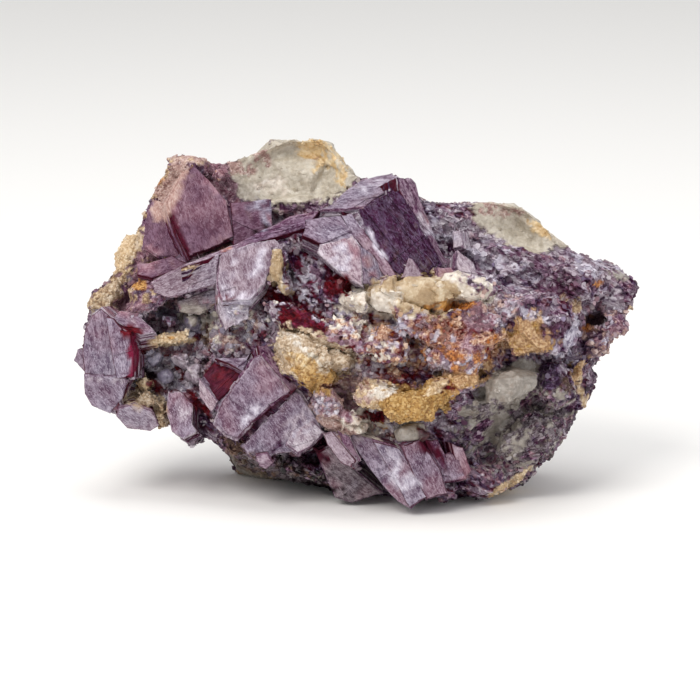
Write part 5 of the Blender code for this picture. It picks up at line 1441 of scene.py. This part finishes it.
def make_mass(spacing):
    """The stone's mass: granular mica that the books and chunks are set in."""
    solid, surface = merged_solid()
    depths = stain_depths(surface)
    mesh = remeshed(solid, spacing)
    points = np.array([surface.find_nearest(point)[0] for point in coordinates(mesh)])
    set_coordinates(mesh, points)
    normals = normals_of(mesh)
    zone, flakes = mass_zones(points)
    fine_near, fine_value = grain_pattern(flakes, FINE_GRAIN_WIDTH, seed=65)
    relief = grain_relief(flakes, GRAIN_WIDTH, seed=60, dome=GRAIN_DOME, step=GRAIN_STEP)
    relief += FINE_GRAIN_DOME * (fine_near - 0.5)
    relief += SWELL * layered_noise(points, SWELL_SIZE, seed=68) - MASS_SINK
    coats = mass_coats(points, zone, flakes, fine_value, depths)
    hidden, fillet = covered(points)
    relief = np.where(hidden, -COVER_SINK, relief * coats[:, RUGGED] + FILLET_RISE * fillet)
    # Painted shade: where the relief dips at the edges of grains, the colour is drawn to its darker tone
    seam_shade = SEAM_SHADE * coats[:, RUGGED] * smooth_step(SEAM_SHADE_WIDTH, 0.0, fine_near)
    coats[:, COLOUR] = blended(coats[:, COLOUR], coats[:, SHADE], seam_shade)
    coats[:, GRAINY] = GRAINY_MASS
    coats[hidden, LOOSE] = 0.0
    coats[hidden, BROKEN] = 0.0
    set_coordinates(mesh, points + normals * relief[:, None])
    write_coats(mesh, coats)
    corners = loop_corners(mesh)
    write_grain(mesh, flakes[corners])
    piece = finished("mica_mass", mesh, KINDS.values())
    kinds = coats[corners, KIND].reshape(len(mesh.polygons), 4, 3).sum(axis=1).argmax(axis=1)
    mesh.polygons.foreach_set("material_index", kinds.astype(np.int32))
    turned_away = normals @ np.array(SIGHT_WAY) > AWAY
    thin_out(piece, hidden | turned_away)
    hand_in(piece, "lepidolite")
    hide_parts(NODE)


def cut_across(builder, places, direction):
    """Cuts every face of a book along planes, without taking anything away."""
    for place in places:
        everything = builder.verts[:] + builder.edges[:] + builder.faces[:]
        bmesh.ops.bisect_plane(builder, geom=everything, plane_co=place, plane_no=direction, dist=1e-5)


def stepped_places(low, high, steps, dice):
    """Places between low and high, with an uneven step between them."""
    places = []
    place = low + dice.uniform(*steps)
    while place < high - 0.5 * steps[0]:
        places.append(place)
        place += dice.uniform(*steps)
    return places


def inset_outline(outline, inset):
    """A flat outline with each corner drawn in along the line that halves its angle."""
    drawn_in = []
    for before, corner, after in zip(np.roll(outline, 1, axis=0), outline, np.roll(outline, -1, axis=0)):
        arriving = (corner - before) / np.linalg.norm(corner - before)
        leaving = (after - corner) / np.linalg.norm(after - corner)
        inward = np.array((-arriving[1] - leaving[1], arriving[0] + leaving[0]))
        drawn_in.append(corner + inward * inset / max(0.5, 1.0 + arriving @ leaving))
    return np.array(drawn_in)


def add_wall(builder, lower, upper):
    """The faces between two rings of as many points."""
    for index in range(len(lower)):
        after = (index + 1) % len(lower)
        builder.faces.new((lower[index], lower[after], upper[after], upper[index]))


def book_prism(outline, depth):
    """The plain closed prism of a book, with a narrow bevel round its face."""
    builder = bmesh.new()
    rings = []
    for ring, height in ((outline, -depth), (outline, -BEVEL), (inset_outline(outline, RIM), 0.0)):
        rings.append([builder.verts.new((x, y, height)) for x, y in ring])
    builder.faces.new(rings[0][::-1])
    builder.faces.new(rings[2])
    for lower, upper in zip(rings, rings[1:]):
        add_wall(builder, lower, upper)
    return builder


def prepared_book(crystal, outline, strips, pieces, sheets, breaks):
    """The mesh of a book's plain prism, cut where its strips, pieces, breaks and sheets end."""
    builder = book_prism(outline, BOOK_DEPTH)
    for place in strips:
        cut_across(builder, [(place + side / 2, 0, 0) for side in (-CUT, CUT)], (1, 0, 0))
    cut_across(builder, [(0, place, 0) for place in pieces], (PIECE_SLANT, 1, 0))
    for direction, reach in breaks:
        cut_across(builder, [(*(direction * (reach + side)), 0) for side in (-CUT, CUT)], (*direction, 0))
    for place in sheets:
        cut_across(builder, [(0, 0, -place + side / 2) for side in (-CUT, CUT)], (0, 0, 1))
    bmesh.ops.triangulate(builder, faces=builder.faces[:])
    return mesh_of(builder, crystal.name)


def book_cuts(crystal, outline, dice):
    """Where a book is cut: its strips, their pieces, its sheets, and the breaks that its face steps at."""
    (left, low), (right, high) = outline.min(axis=0), outline.max(axis=0)
    strips = stepped_places(left, right, LOOKS[crystal.look].strips, dice)
    pieces = stepped_places(low, high, PIECE_LENGTH, dice)
    sheets = stepped_places(BEVEL, BOOK_DEPTH, SHEET_THICKNESS, dice)
    if crystal.sheets > 1:
        sheets = sorted([place for place in sheets if abs(place - SHEET_STEP) > SHEET_GAP] + [SHEET_STEP])
    breaks = []
    for _ in range(dice.choice(BREAK_NUMBERS)):
        turn = math.radians(dice.choice(BREAK_TURNS) + dice.uniform(-BREAK_STRAY, BREAK_STRAY))
        reach = dice.uniform(*BREAK_REACH) * min(right - left, high - low) / 2
        breaks.append((np.array((math.cos(turn), math.sin(turn))), reach))
    return strips, pieces, sheets, breaks


def cut_points(seed, flat, outline, strips, pieces, sheets, breaks):
    """Where each point of a cut book lies, as a Cut."""
    strip = np.searchsorted(strips, flat[:, 0])
    piece = np.searchsorted(pieces, flat[:, 1] + PIECE_SLANT * flat[:, 0])
    edges = np.array([outline[:, 0].min(), *strips, outline[:, 0].max()])
    outside, outward = outline_sides(outline, flat[:, :2])
    broken = np.ones(len(flat), bool)
    for direction, reach in breaks:
        broken &= flat[:, :2] @ direction > reach
    return Cut(
        seed, flat, strip, piece, sheet=np.searchsorted(sheets, -flat[:, 2]),
        strip_value=chance_of(seed, strip) - 0.5, piece_value=chance_of(seed + 1, strip, piece) - 0.5,
        strip_middle=((edges[1:] + edges[:-1]) / 2)[strip], inward=-outside, outward=outward,
        front=flat[:, 2] > -BEVEL - 0.01, broken=broken, breaks=breaks)


def book_rise(look, cut):
    """How far the strips and pieces of a book's face stand out or back."""
    rise = look.relief * 2.0 * cut.strip_value + look.relief * PIECE_SHARE * cut.piece_value
    tilt = chance_of(cut.seed + 4, cut.strip, cut.piece // TILTED_ALIKE) - 0.5
    rise += STRIP_TILT * tilt * (cut.flat[:, 0] - cut.strip_middle)
    rise += FACE_SWELL * layered_noise(cut.flat, FACE_SWELL_SIZE, cut.seed + 5)
    rise -= look.step * cut.broken
    return rise * np.where(cut.front, 1.0, smooth_step(FACE_DEPTH, 0.0, -cut.flat[:, 2]))


def book_stray(look, cut):
    """How far the edges of a book's sheets and the ends of its strips stray outward."""
    sheet_value = chance_of(cut.seed + 2, cut.sheet)
    upper_end = (cut.flat[:, 1] > 0).astype(int)
    end_value = chance_of(cut.seed + 3, cut.strip, cut.sheet // FRAYED_ALIKE, upper_end)
    stray = SHEET_STRAY[0] + (SHEET_STRAY[1] - SHEET_STRAY[0]) * sheet_value
    at_end = np.abs(cut.outward[:, 1]) > SHARP_END
    stray -= np.where(at_end, END_STRAY * end_value * look.streak, 0.0)
    stray += EDGE_WAVE * layered_noise(cut.flat, EDGE_WAVE_SIZE, cut.seed + 6)
    return stray * smooth_step(END_REACH, RIM, cut.inward)


def book_coats(look, cut):
    """The tones of a book's strips and pieces, the pale rims of breaks, and the edges of its sheets."""
    coats = np.tile(coat_of(look.face), (len(cut.flat), 1))
    haze = layered_noise(cut.flat, HAZE_SIZE, cut.seed + 11, layers=4)
    for mineral, side in zip(look.hazes, (haze, -haze)):
        coats = blended(coats, coat_of(mineral), HAZE * smooth_step(*HAZE_EDGE, side))
    swell = layered_noise(cut.flat, TONE_SIZE, cut.seed + 8)
    tone = TONE_WEIGHT * (cut.strip_value + cut.piece_value + swell)
    darker = np.clip(-tone, 0.0, DARKEST) * coats[:, DARK]
    paler = np.clip(tone - 0.1, 0.0, PALEST) * coats[:, PALE]
    rim = cut.front & (cut.inward < RIM + 0.03)
    for direction, reach in cut.breaks:
        rim |= cut.front & ~cut.broken & (np.abs(cut.flat[:, :2] @ direction - reach) < CUT * 1.5)
    outlined = rim * RIM_SHINE * chance_of(cut.seed + 9, cut.strip, cut.piece) * coats[:, PALE]
    for target, weight in ((SHADE, darker), (GLINT, paler), (GLINT, outlined)):
        coats[:, COLOUR] = blended(coats[:, COLOUR], coats[:, target], weight)
    tones = chance_of(cut.seed + 10, cut.sheet, cut.strip // TONED_ALIKE) * len(look.edges)
    picked = np.minimum(tones.astype(int), len(look.edges) - 1)
    on_wall = ~cut.front | (cut.inward < WALL)
    for index, mineral in enumerate(look.edges):
        coats[on_wall & (picked == index)] = coat_of(mineral)
    coats[:, GRAINY] = GRAINY_BOOK
    return coats


def book_grain(cut, corners, facing):
    """The grain at each corner of a book's triangles: along the face, and along each sheet on the walls."""
    local = cut.flat[corners]
    direction = cut.outward[corners]
    is_front = np.repeat(facing[:, 2] > 0.5, 3)
    along_wall = local[:, 1] * direction[:, 0] - local[:, 0] * direction[:, 1]
    place = np.where(is_front[:, None], local, np.stack((local[:, 2], along_wall, 0 * along_wall), axis=1))
    place[:, 2] = cut.seed
    return place / BOOK_FLAKE


def cut_book(crystal, depths):
    """One book of mica: its points in millimetres, its triangles, their coats and the grain at each corner.

    The plain prism is cut into strips along its grain, into shorter pieces across them and into sheets behind
    its face. Each then stands out or back by itself, as cleaved mica does.
    """
    look = LOOKS[crystal.look]
    dice = random.Random(crystal.name)
    seed = dice.randrange(1000)
    middle, axes, outline = crystal_frame(crystal)
    area = np.sum(outline[:, 0] * np.roll(outline[:, 1], -1) - outline[:, 1] * np.roll(outline[:, 0], -1))
    if area < 0.0:
        outline = outline[::-1]
    cuts = book_cuts(crystal, outline, dice)
    mesh = prepared_book(crystal, outline, *cuts)
    flat = coordinates(mesh)
    corners = loop_corners(mesh)
    facing = read(mesh.polygons, "normal", 3)
    bpy.data.meshes.remove(mesh)
    cut = cut_points(seed, flat, outline, *cuts)
    place = flat.copy()
    place[:, :2] += cut.outward * book_stray(look, cut)[:, None]
    place[:, 2] += book_rise(look, cut)
    wave = layered_noise(flat * (1.0, 1.0, 0.2), STRIP_WAVE_SIZE, seed + 7)
    place[:, 0] += STRIP_WAVE * wave * (cut.inward > RIM * 2)
    if crystal.sheets > 1:
        place[flat[:, 2] > -SHEET_STEP, :2] *= 1.0 - SHEET_SHRINK
    points = middle + place @ axes
    coats = stained(points, book_coats(look, cut), depths)
    coats[:, LOOSE] = 0.0
    return points, corners.reshape(-1, 3), coats, book_grain(cut, corners, facing)


def make_books(name, crystals, depths):
    """A group of neighbouring mica books, as one piece."""
    points, triangles, coats, grain = zip(*(cut_book(crystal, depths) for crystal in crystals))
    starts = np.cumsum([0] + [len(part) for part in points])
    triangles = np.vstack([part + start for part, start in zip(triangles, starts)])
    mesh = bpy.data.meshes.new(name)
    mesh.from_pydata(np.vstack(points).tolist(), [], triangles.tolist())
    write_coats(mesh, np.vstack(coats))
    write_grain(mesh, np.vstack(grain))
    hand_in(finished(name, mesh, [KINDS["mica"]]), "lepidolite")


def make_chunks(name, lumps, kind, relief):
    """Chunks of one kind as one piece: relief gives, for its points, how far each stands out."""
    builder = bmesh.new()
    for lump in lumps:
        add_chunk(builder, lump)
    bmesh.ops.recalc_face_normals(builder, faces=builder.faces[:])
    mesh = remeshed(mesh_of(builder, name), bpy.context.scene.lepidolite.chunk_grain / MM)
    points = coordinates(mesh)
    places = view_coordinates(points)
    owners = np.stack([lump_reach(places, lump) for lump in lumps]).argmin(axis=0)
    breadth = np.array([min(lump.radii) for lump in lumps])[owners]
    points = worn(mesh, points, WEAR * smooth_step(*WEAR_BREADTH, breadth))
    set_coordinates(mesh, points)
    normals = normals_of(mesh)
    coats = stained(points, np.array([coat_of(lump.mineral) for lump in lumps])[owners], stone_depths())
    set_coordinates(mesh, points + normals * (relief(points) * coats[:, RUGGED])[:, None])
    write_coats(mesh, coats)
    hand_in(finished(name, mesh, [KINDS[kind]], smooth=True), kind)


def quartz_relief(points):
    """Low uneven swells, and the shallow shells that quartz breaks in."""
    bent = points + 0.3 * layered_noise(points, 1.5, seed=81)[:, None]
    relief = grain_relief(bent, 1.6, seed=80, dome=0.12, step=0.30)
    return relief + 0.7 * layered_noise(points, 2.8, seed=83) + 0.12 * layered_noise(points, 0.6, seed=87)


def feldspar_relief(points):
    """Sugary grains on soft swells."""
    relief = grain_relief(points, 0.62, seed=90, dome=0.25, step=0.22)
    relief += grain_relief(points, 1.4, seed=94, dome=0.18, step=0.35)
    return relief + 0.45 * layered_noise(points, 2.6, seed=98)


def add_grain_shape(builder, corners, thickness, dice):
    """A flat many-sided grain or flake, one unit in radius."""
    rings = []
    for height, share in ((-thickness, 0.9), (thickness, 1.0)):
        ring = []
        for index in range(corners):
            angle = 2.0 * math.pi * index / corners
            radius = share * dice.uniform(0.7, 1.0)
            ring.append(builder.verts.new((radius * math.cos(angle), radius * math.sin(angle), height)))
        rings.append(ring)
    builder.faces.new(rings[0][::-1])
    builder.faces.new(rings[1])
    add_wall(builder, *rings)


def add_crystal_shape(builder, corners, dice):
    """A broken crystal, about one unit in radius: the flat-sided skin round a few corners."""
    points = []
    for angle, around, height in spread_corners(corners, dice, 0.4):
        points.append(builder.verts.new((
            around * math.cos(angle), 0.7 * around * math.sin(angle),
            0.6 * height + dice.uniform(-0.1, 0.1))))
    bmesh.ops.convex_hull(builder, input=points)
    bmesh.ops.recalc_face_normals(builder, faces=builder.faces[:])


def grain_tree():
    """The Geometry Nodes tree that strews loose grains over a surface.

    Grains lie where an attribute of the surface says, each turned and sized by chance, and each keeps the
    colours of the place where it lies and a chance value of its own.
    """
    tree = bpy.data.node_groups.new("strewn grains", "GeometryNodeTree")
    for name, kind in (
        ("Geometry", "Geometry"), ("Grain", "Object"), ("Weight", "String"), ("Density", "Float"),
        ("Size", "Float"), ("Lean", "Float"), ("Seed", "Int"), ("Material", "Material"),
    ):
        tree.interface.new_socket(name, in_out="INPUT", socket_type="NodeSocket" + kind)
    tree.interface.new_socket("Geometry", in_out="OUTPUT", socket_type="NodeSocketGeometry")
    given = add(tree, "NodeGroupInput").outputs
    weight = add(tree, "GeometryNodeInputNamedAttribute", {"Name": given["Weight"]}, data_type="FLOAT")
    thick = math_node(tree, "MULTIPLY", weight, given["Density"])
    spots = add(tree, "GeometryNodeDistributePointsOnFaces", {
        "Mesh": given["Geometry"], "Density": thick, "Seed": given["Seed"]})
    other = math_node(tree, "ADD", given["Seed"], 7.0)
    chance = add(tree, "FunctionNodeRandomValue", {"Seed": other}, data_type="FLOAT")
    marked = add(tree, "GeometryNodeStoreNamedAttribute", {
        "Geometry": spots, "Name": "chance", "Value": chance}, data_type="FLOAT", domain="POINT")
    shape = add(tree, "GeometryNodeObjectInfo", {"Object": given["Grain"]}).outputs["Geometry"]
    another = math_node(tree, "ADD", given["Seed"], 11.0)
    turn = add(tree, "FunctionNodeRandomValue", {
        "Min": (-1.0, -1.0, -math.pi), "Max": (1.0, 1.0, math.pi), "Seed": another},
        data_type="FLOAT_VECTOR")
    leaning = add(tree, "ShaderNodeCombineXYZ", {0: given["Lean"], 1: given["Lean"], 2: 1.0})
    turned = vector_node(tree, "MULTIPLY", turn, leaning)
    size = add(tree, "FunctionNodeRandomValue", {"Min": SMALLEST_GRAIN, "Max": 1.0, "Seed": given["Seed"]},
               data_type="FLOAT")
    scaled = math_node(tree, "MULTIPLY", size, given["Size"])
    laid = add(tree, "GeometryNodeInstanceOnPoints", {
        "Points": marked, "Instance": shape, "Rotation": spots.outputs["Rotation"], "Scale": scaled})
    tipped = add(tree, "GeometryNodeRotateInstances", {
        "Instances": laid, "Rotation": turned, "Local Space": True})
    realised = add(tree, "GeometryNodeRealizeInstances", {"Geometry": tipped})
    coloured = add(tree, "GeometryNodeSetMaterial", {"Geometry": realised, "Material": given["Material"]})
    add(tree, "NodeGroupOutput", {"Geometry": coloured})
    return tree


def strewn(name, surface, tree, values):
    """Grains strewn over a copy of a piece's surface, as one plain piece."""
    source = new_object(name, surface.data.copy())
    spread = source.modifiers.new("strewn grains", "NODES")
    spread.node_group = tree
    for item in tree.interface.items_tree:
        if item.in_out == "INPUT" and item.name in values:
            spread[item.identifier] = values[item.name]
    mesh = evaluated_copy(source)
    bpy.data.objects.remove(source)
    bpy.data.objects.remove(values["Grain"])
    return placed(name, mesh)


def board_material(name):
    """Matt white board for the floor, with the faint tooth of paper."""
    material, tree, shader = new_material(name)
    place = add(tree, "ShaderNodeTexCoord").outputs["Object"]
    paper = add(tree, "ShaderNodeTexNoise", {"Vector": place, "Scale": 400.0})
    bump = add(tree, "ShaderNodeBump", {"Height": paper, "Strength": 0.05, "Distance": 0.1 * MM})
    colour = (*bpy.context.scene.lepidolite.floor_colour, 1.0)
    give(tree, shader, {"Normal": bump, "Base Color": colour, "Roughness": 0.85})
    return material


def aim(made, place, target):
    """Puts a lamp or a camera at a place, and turns it to look at another."""
    made.location = place
    made.rotation_euler = (target - place).to_track_quat("-Z", "Y").to_euler()


def piece_named(name):
    """A piece made by an earlier operator."""
    made = bpy.data.objects.get(name)
    if made is None:
        raise RuntimeError(f"{name} is made first")
    return made


MAKERS = {
    "cleaved lepidolite mica": mica_material,
    "milky quartz": quartz_material,
    "weathered iron stained feldspar": feldspar_material,
    "loose mica flakes": grain_material,
    "feldspar crumbs": grain_material,
    "broken mica and quartz": grain_material,
    "matt white board": board_material,
}


def material_named(name):
    """A material, made once."""
    return bpy.data.materials.get(name) or MAKERS[name](name)


class LEPIDOLITE_OT_mass(bpy.types.Operator):
    """Make the granular mica mass that everything else is set in"""

    bl_idname = "lepidolite.mass"
    bl_label = "Mica mass"

    def execute(self, context):
        make_mass(context.scene.lepidolite.mass_grain / MM)
        return {"FINISHED"}


class LEPIDOLITE_OT_books(bpy.types.Operator):
    """Make the mica books, cut into strips and sheets"""

    bl_idname = "lepidolite.books"
    bl_label = "Mica books"

    def execute(self, context):
        depths = stone_depths()
        for name, crystals in BOOKS.items():
            make_books(name, crystals, depths)
        return {"FINISHED"}


class LEPIDOLITE_OT_quartz(bpy.types.Operator):
    """Make the milky quartz chunks"""

    bl_idname = "lepidolite.quartz"
    bl_label = "Quartz"

    def execute(self, context):
        make_chunks("quartz_chunks", QUARTZ_LUMPS, "quartz", quartz_relief)
        return {"FINISHED"}


class LEPIDOLITE_OT_feldspar(bpy.types.Operator):
    """Make the iron-stained feldspar crust"""

    bl_idname = "lepidolite.feldspar"
    bl_label = "Feldspar crust"

    def execute(self, context):
        make_chunks("feldspar_crust", FELDSPAR_LUMPS, "feldspar", feldspar_relief)
        return {"FINISHED"}


class LEPIDOLITE_OT_grains(bpy.types.Operator):
    """Strew loose mica flakes, feldspar crumbs and broken crystals over the stone"""

    bl_idname = "lepidolite.grains"
    bl_label = "Loose grains"

    def execute(self, context):
        settings = context.scene.lepidolite
        tree = grain_tree()
        for name, grain in GRAINS.items():
            builder = bmesh.new()
            if grain.corners == CRYSTAL_CORNERS:
                add_crystal_shape(builder, grain.corners, random.Random(name))
            else:
                add_grain_shape(builder, grain.corners, grain.thickness, random.Random(name))
            piece = strewn(name, piece_named(grain.surface), tree, {
                "Grain": new_object("grain", mesh_of(builder, "grain")),
                "Material": material_named(grain.material),
                "Weight": grain.weight,
                "Density": getattr(settings, grain.number) * grain.more * PER_SQUARE_METRE,
                "Size": getattr(settings, grain.size),
                "Lean": grain.lean,
                "Seed": settings.seed,
            })
            hand_in(piece, grain.slot)
        return {"FINISHED"}


class LEPIDOLITE_OT_stage(bpy.types.Operator):
    """Lay a pale floor, light it softly and place the camera"""

    bl_idname = "lepidolite.stage"
    bl_label = "Stage"

    def execute(self, context):
        scene = context.scene
        builder = bmesh.new()
        bmesh.ops.create_grid(builder, x_segments=1, y_segments=1, size=FLOOR_SIZE / 2)
        floor = new_object("floor", mesh_of(builder, "floor"))
        floor.data.materials.append(material_named("matt white board"))
        for light in LIGHTS:
            lamp = bpy.data.lights.new(light.name, "AREA")
            lamp.energy = light.power
            lamp.size = light.size
            lamp.color = linear(light.colour)
            aim(new_object(light.name, lamp), Vector(light.place), Vector(LIT_PLACE))
        sky = bpy.data.worlds.new("studio")
        sky.use_nodes = True
        background = sky.node_tree.nodes["Background"]
        give(sky.node_tree, background, {"Color": (1.0, 1.0, 1.0, 1.0), "Strength": SKY_STRENGTH})
        scene.world = sky
        scene.view_settings.view_transform = "Standard"
        lens = bpy.data.cameras.new("camera")
        lens.sensor_width = SENSOR_WIDTH
        lens.lens = SENSOR_WIDTH * EYE_DISTANCE / PICTURE_WIDTH
        scene.camera = new_object("camera", lens)
        aim(scene.camera, world(0.0, 0.0, EYE_DISTANCE) * MM, world(0.0, 0.0, 0.0) * MM)
        return {"FINISHED"}


class LEPIDOLITE_PT_panel(bpy.types.Panel):
    """Makes the stone piece by piece"""

    bl_idname = "LEPIDOLITE_PT_panel"
    bl_label = "Raw lepidolite"
    bl_space_type = "VIEW_3D"
    bl_region_type = "UI"
    bl_category = "Lepidolite"

    def draw(self, context):
        settings = context.scene.lepidolite
        for name in settings.bl_rna.properties.keys():
            if name not in ("rna_type", "name"):
                self.layout.prop(settings, name)
        for operator in OPERATORS:
            self.layout.operator(operator.bl_idname)


OPERATORS = (
    LEPIDOLITE_OT_mass,
    LEPIDOLITE_OT_books,
    LEPIDOLITE_OT_quartz,
    LEPIDOLITE_OT_feldspar,
    LEPIDOLITE_OT_grains,
    LEPIDOLITE_OT_stage,
)
CLASSES = (LepidoliteSettings, *OPERATORS, LEPIDOLITE_PT_panel)


def register():
    """Adds the classes and the settings to Blender."""
    for made in CLASSES:
        bpy.utils.register_class(made)
    bpy.types.Scene.lepidolite = PointerProperty(type=LepidoliteSettings)


def unregister():
    """Takes the settings and the classes out of Blender again."""
    del bpy.types.Scene.lepidolite
    for made in reversed(CLASSES):
        bpy.utils.unregister_class(made)


def main():
    """Makes the stone and its stage."""
    register()
    bpy.ops.lepidolite.mass()
    bpy.ops.lepidolite.books()
    bpy.ops.lepidolite.quartz()
    bpy.ops.lepidolite.feldspar()
    bpy.ops.lepidolite.grains()
    bpy.ops.lepidolite.stage()


if __name__ == "__main__":
    main()
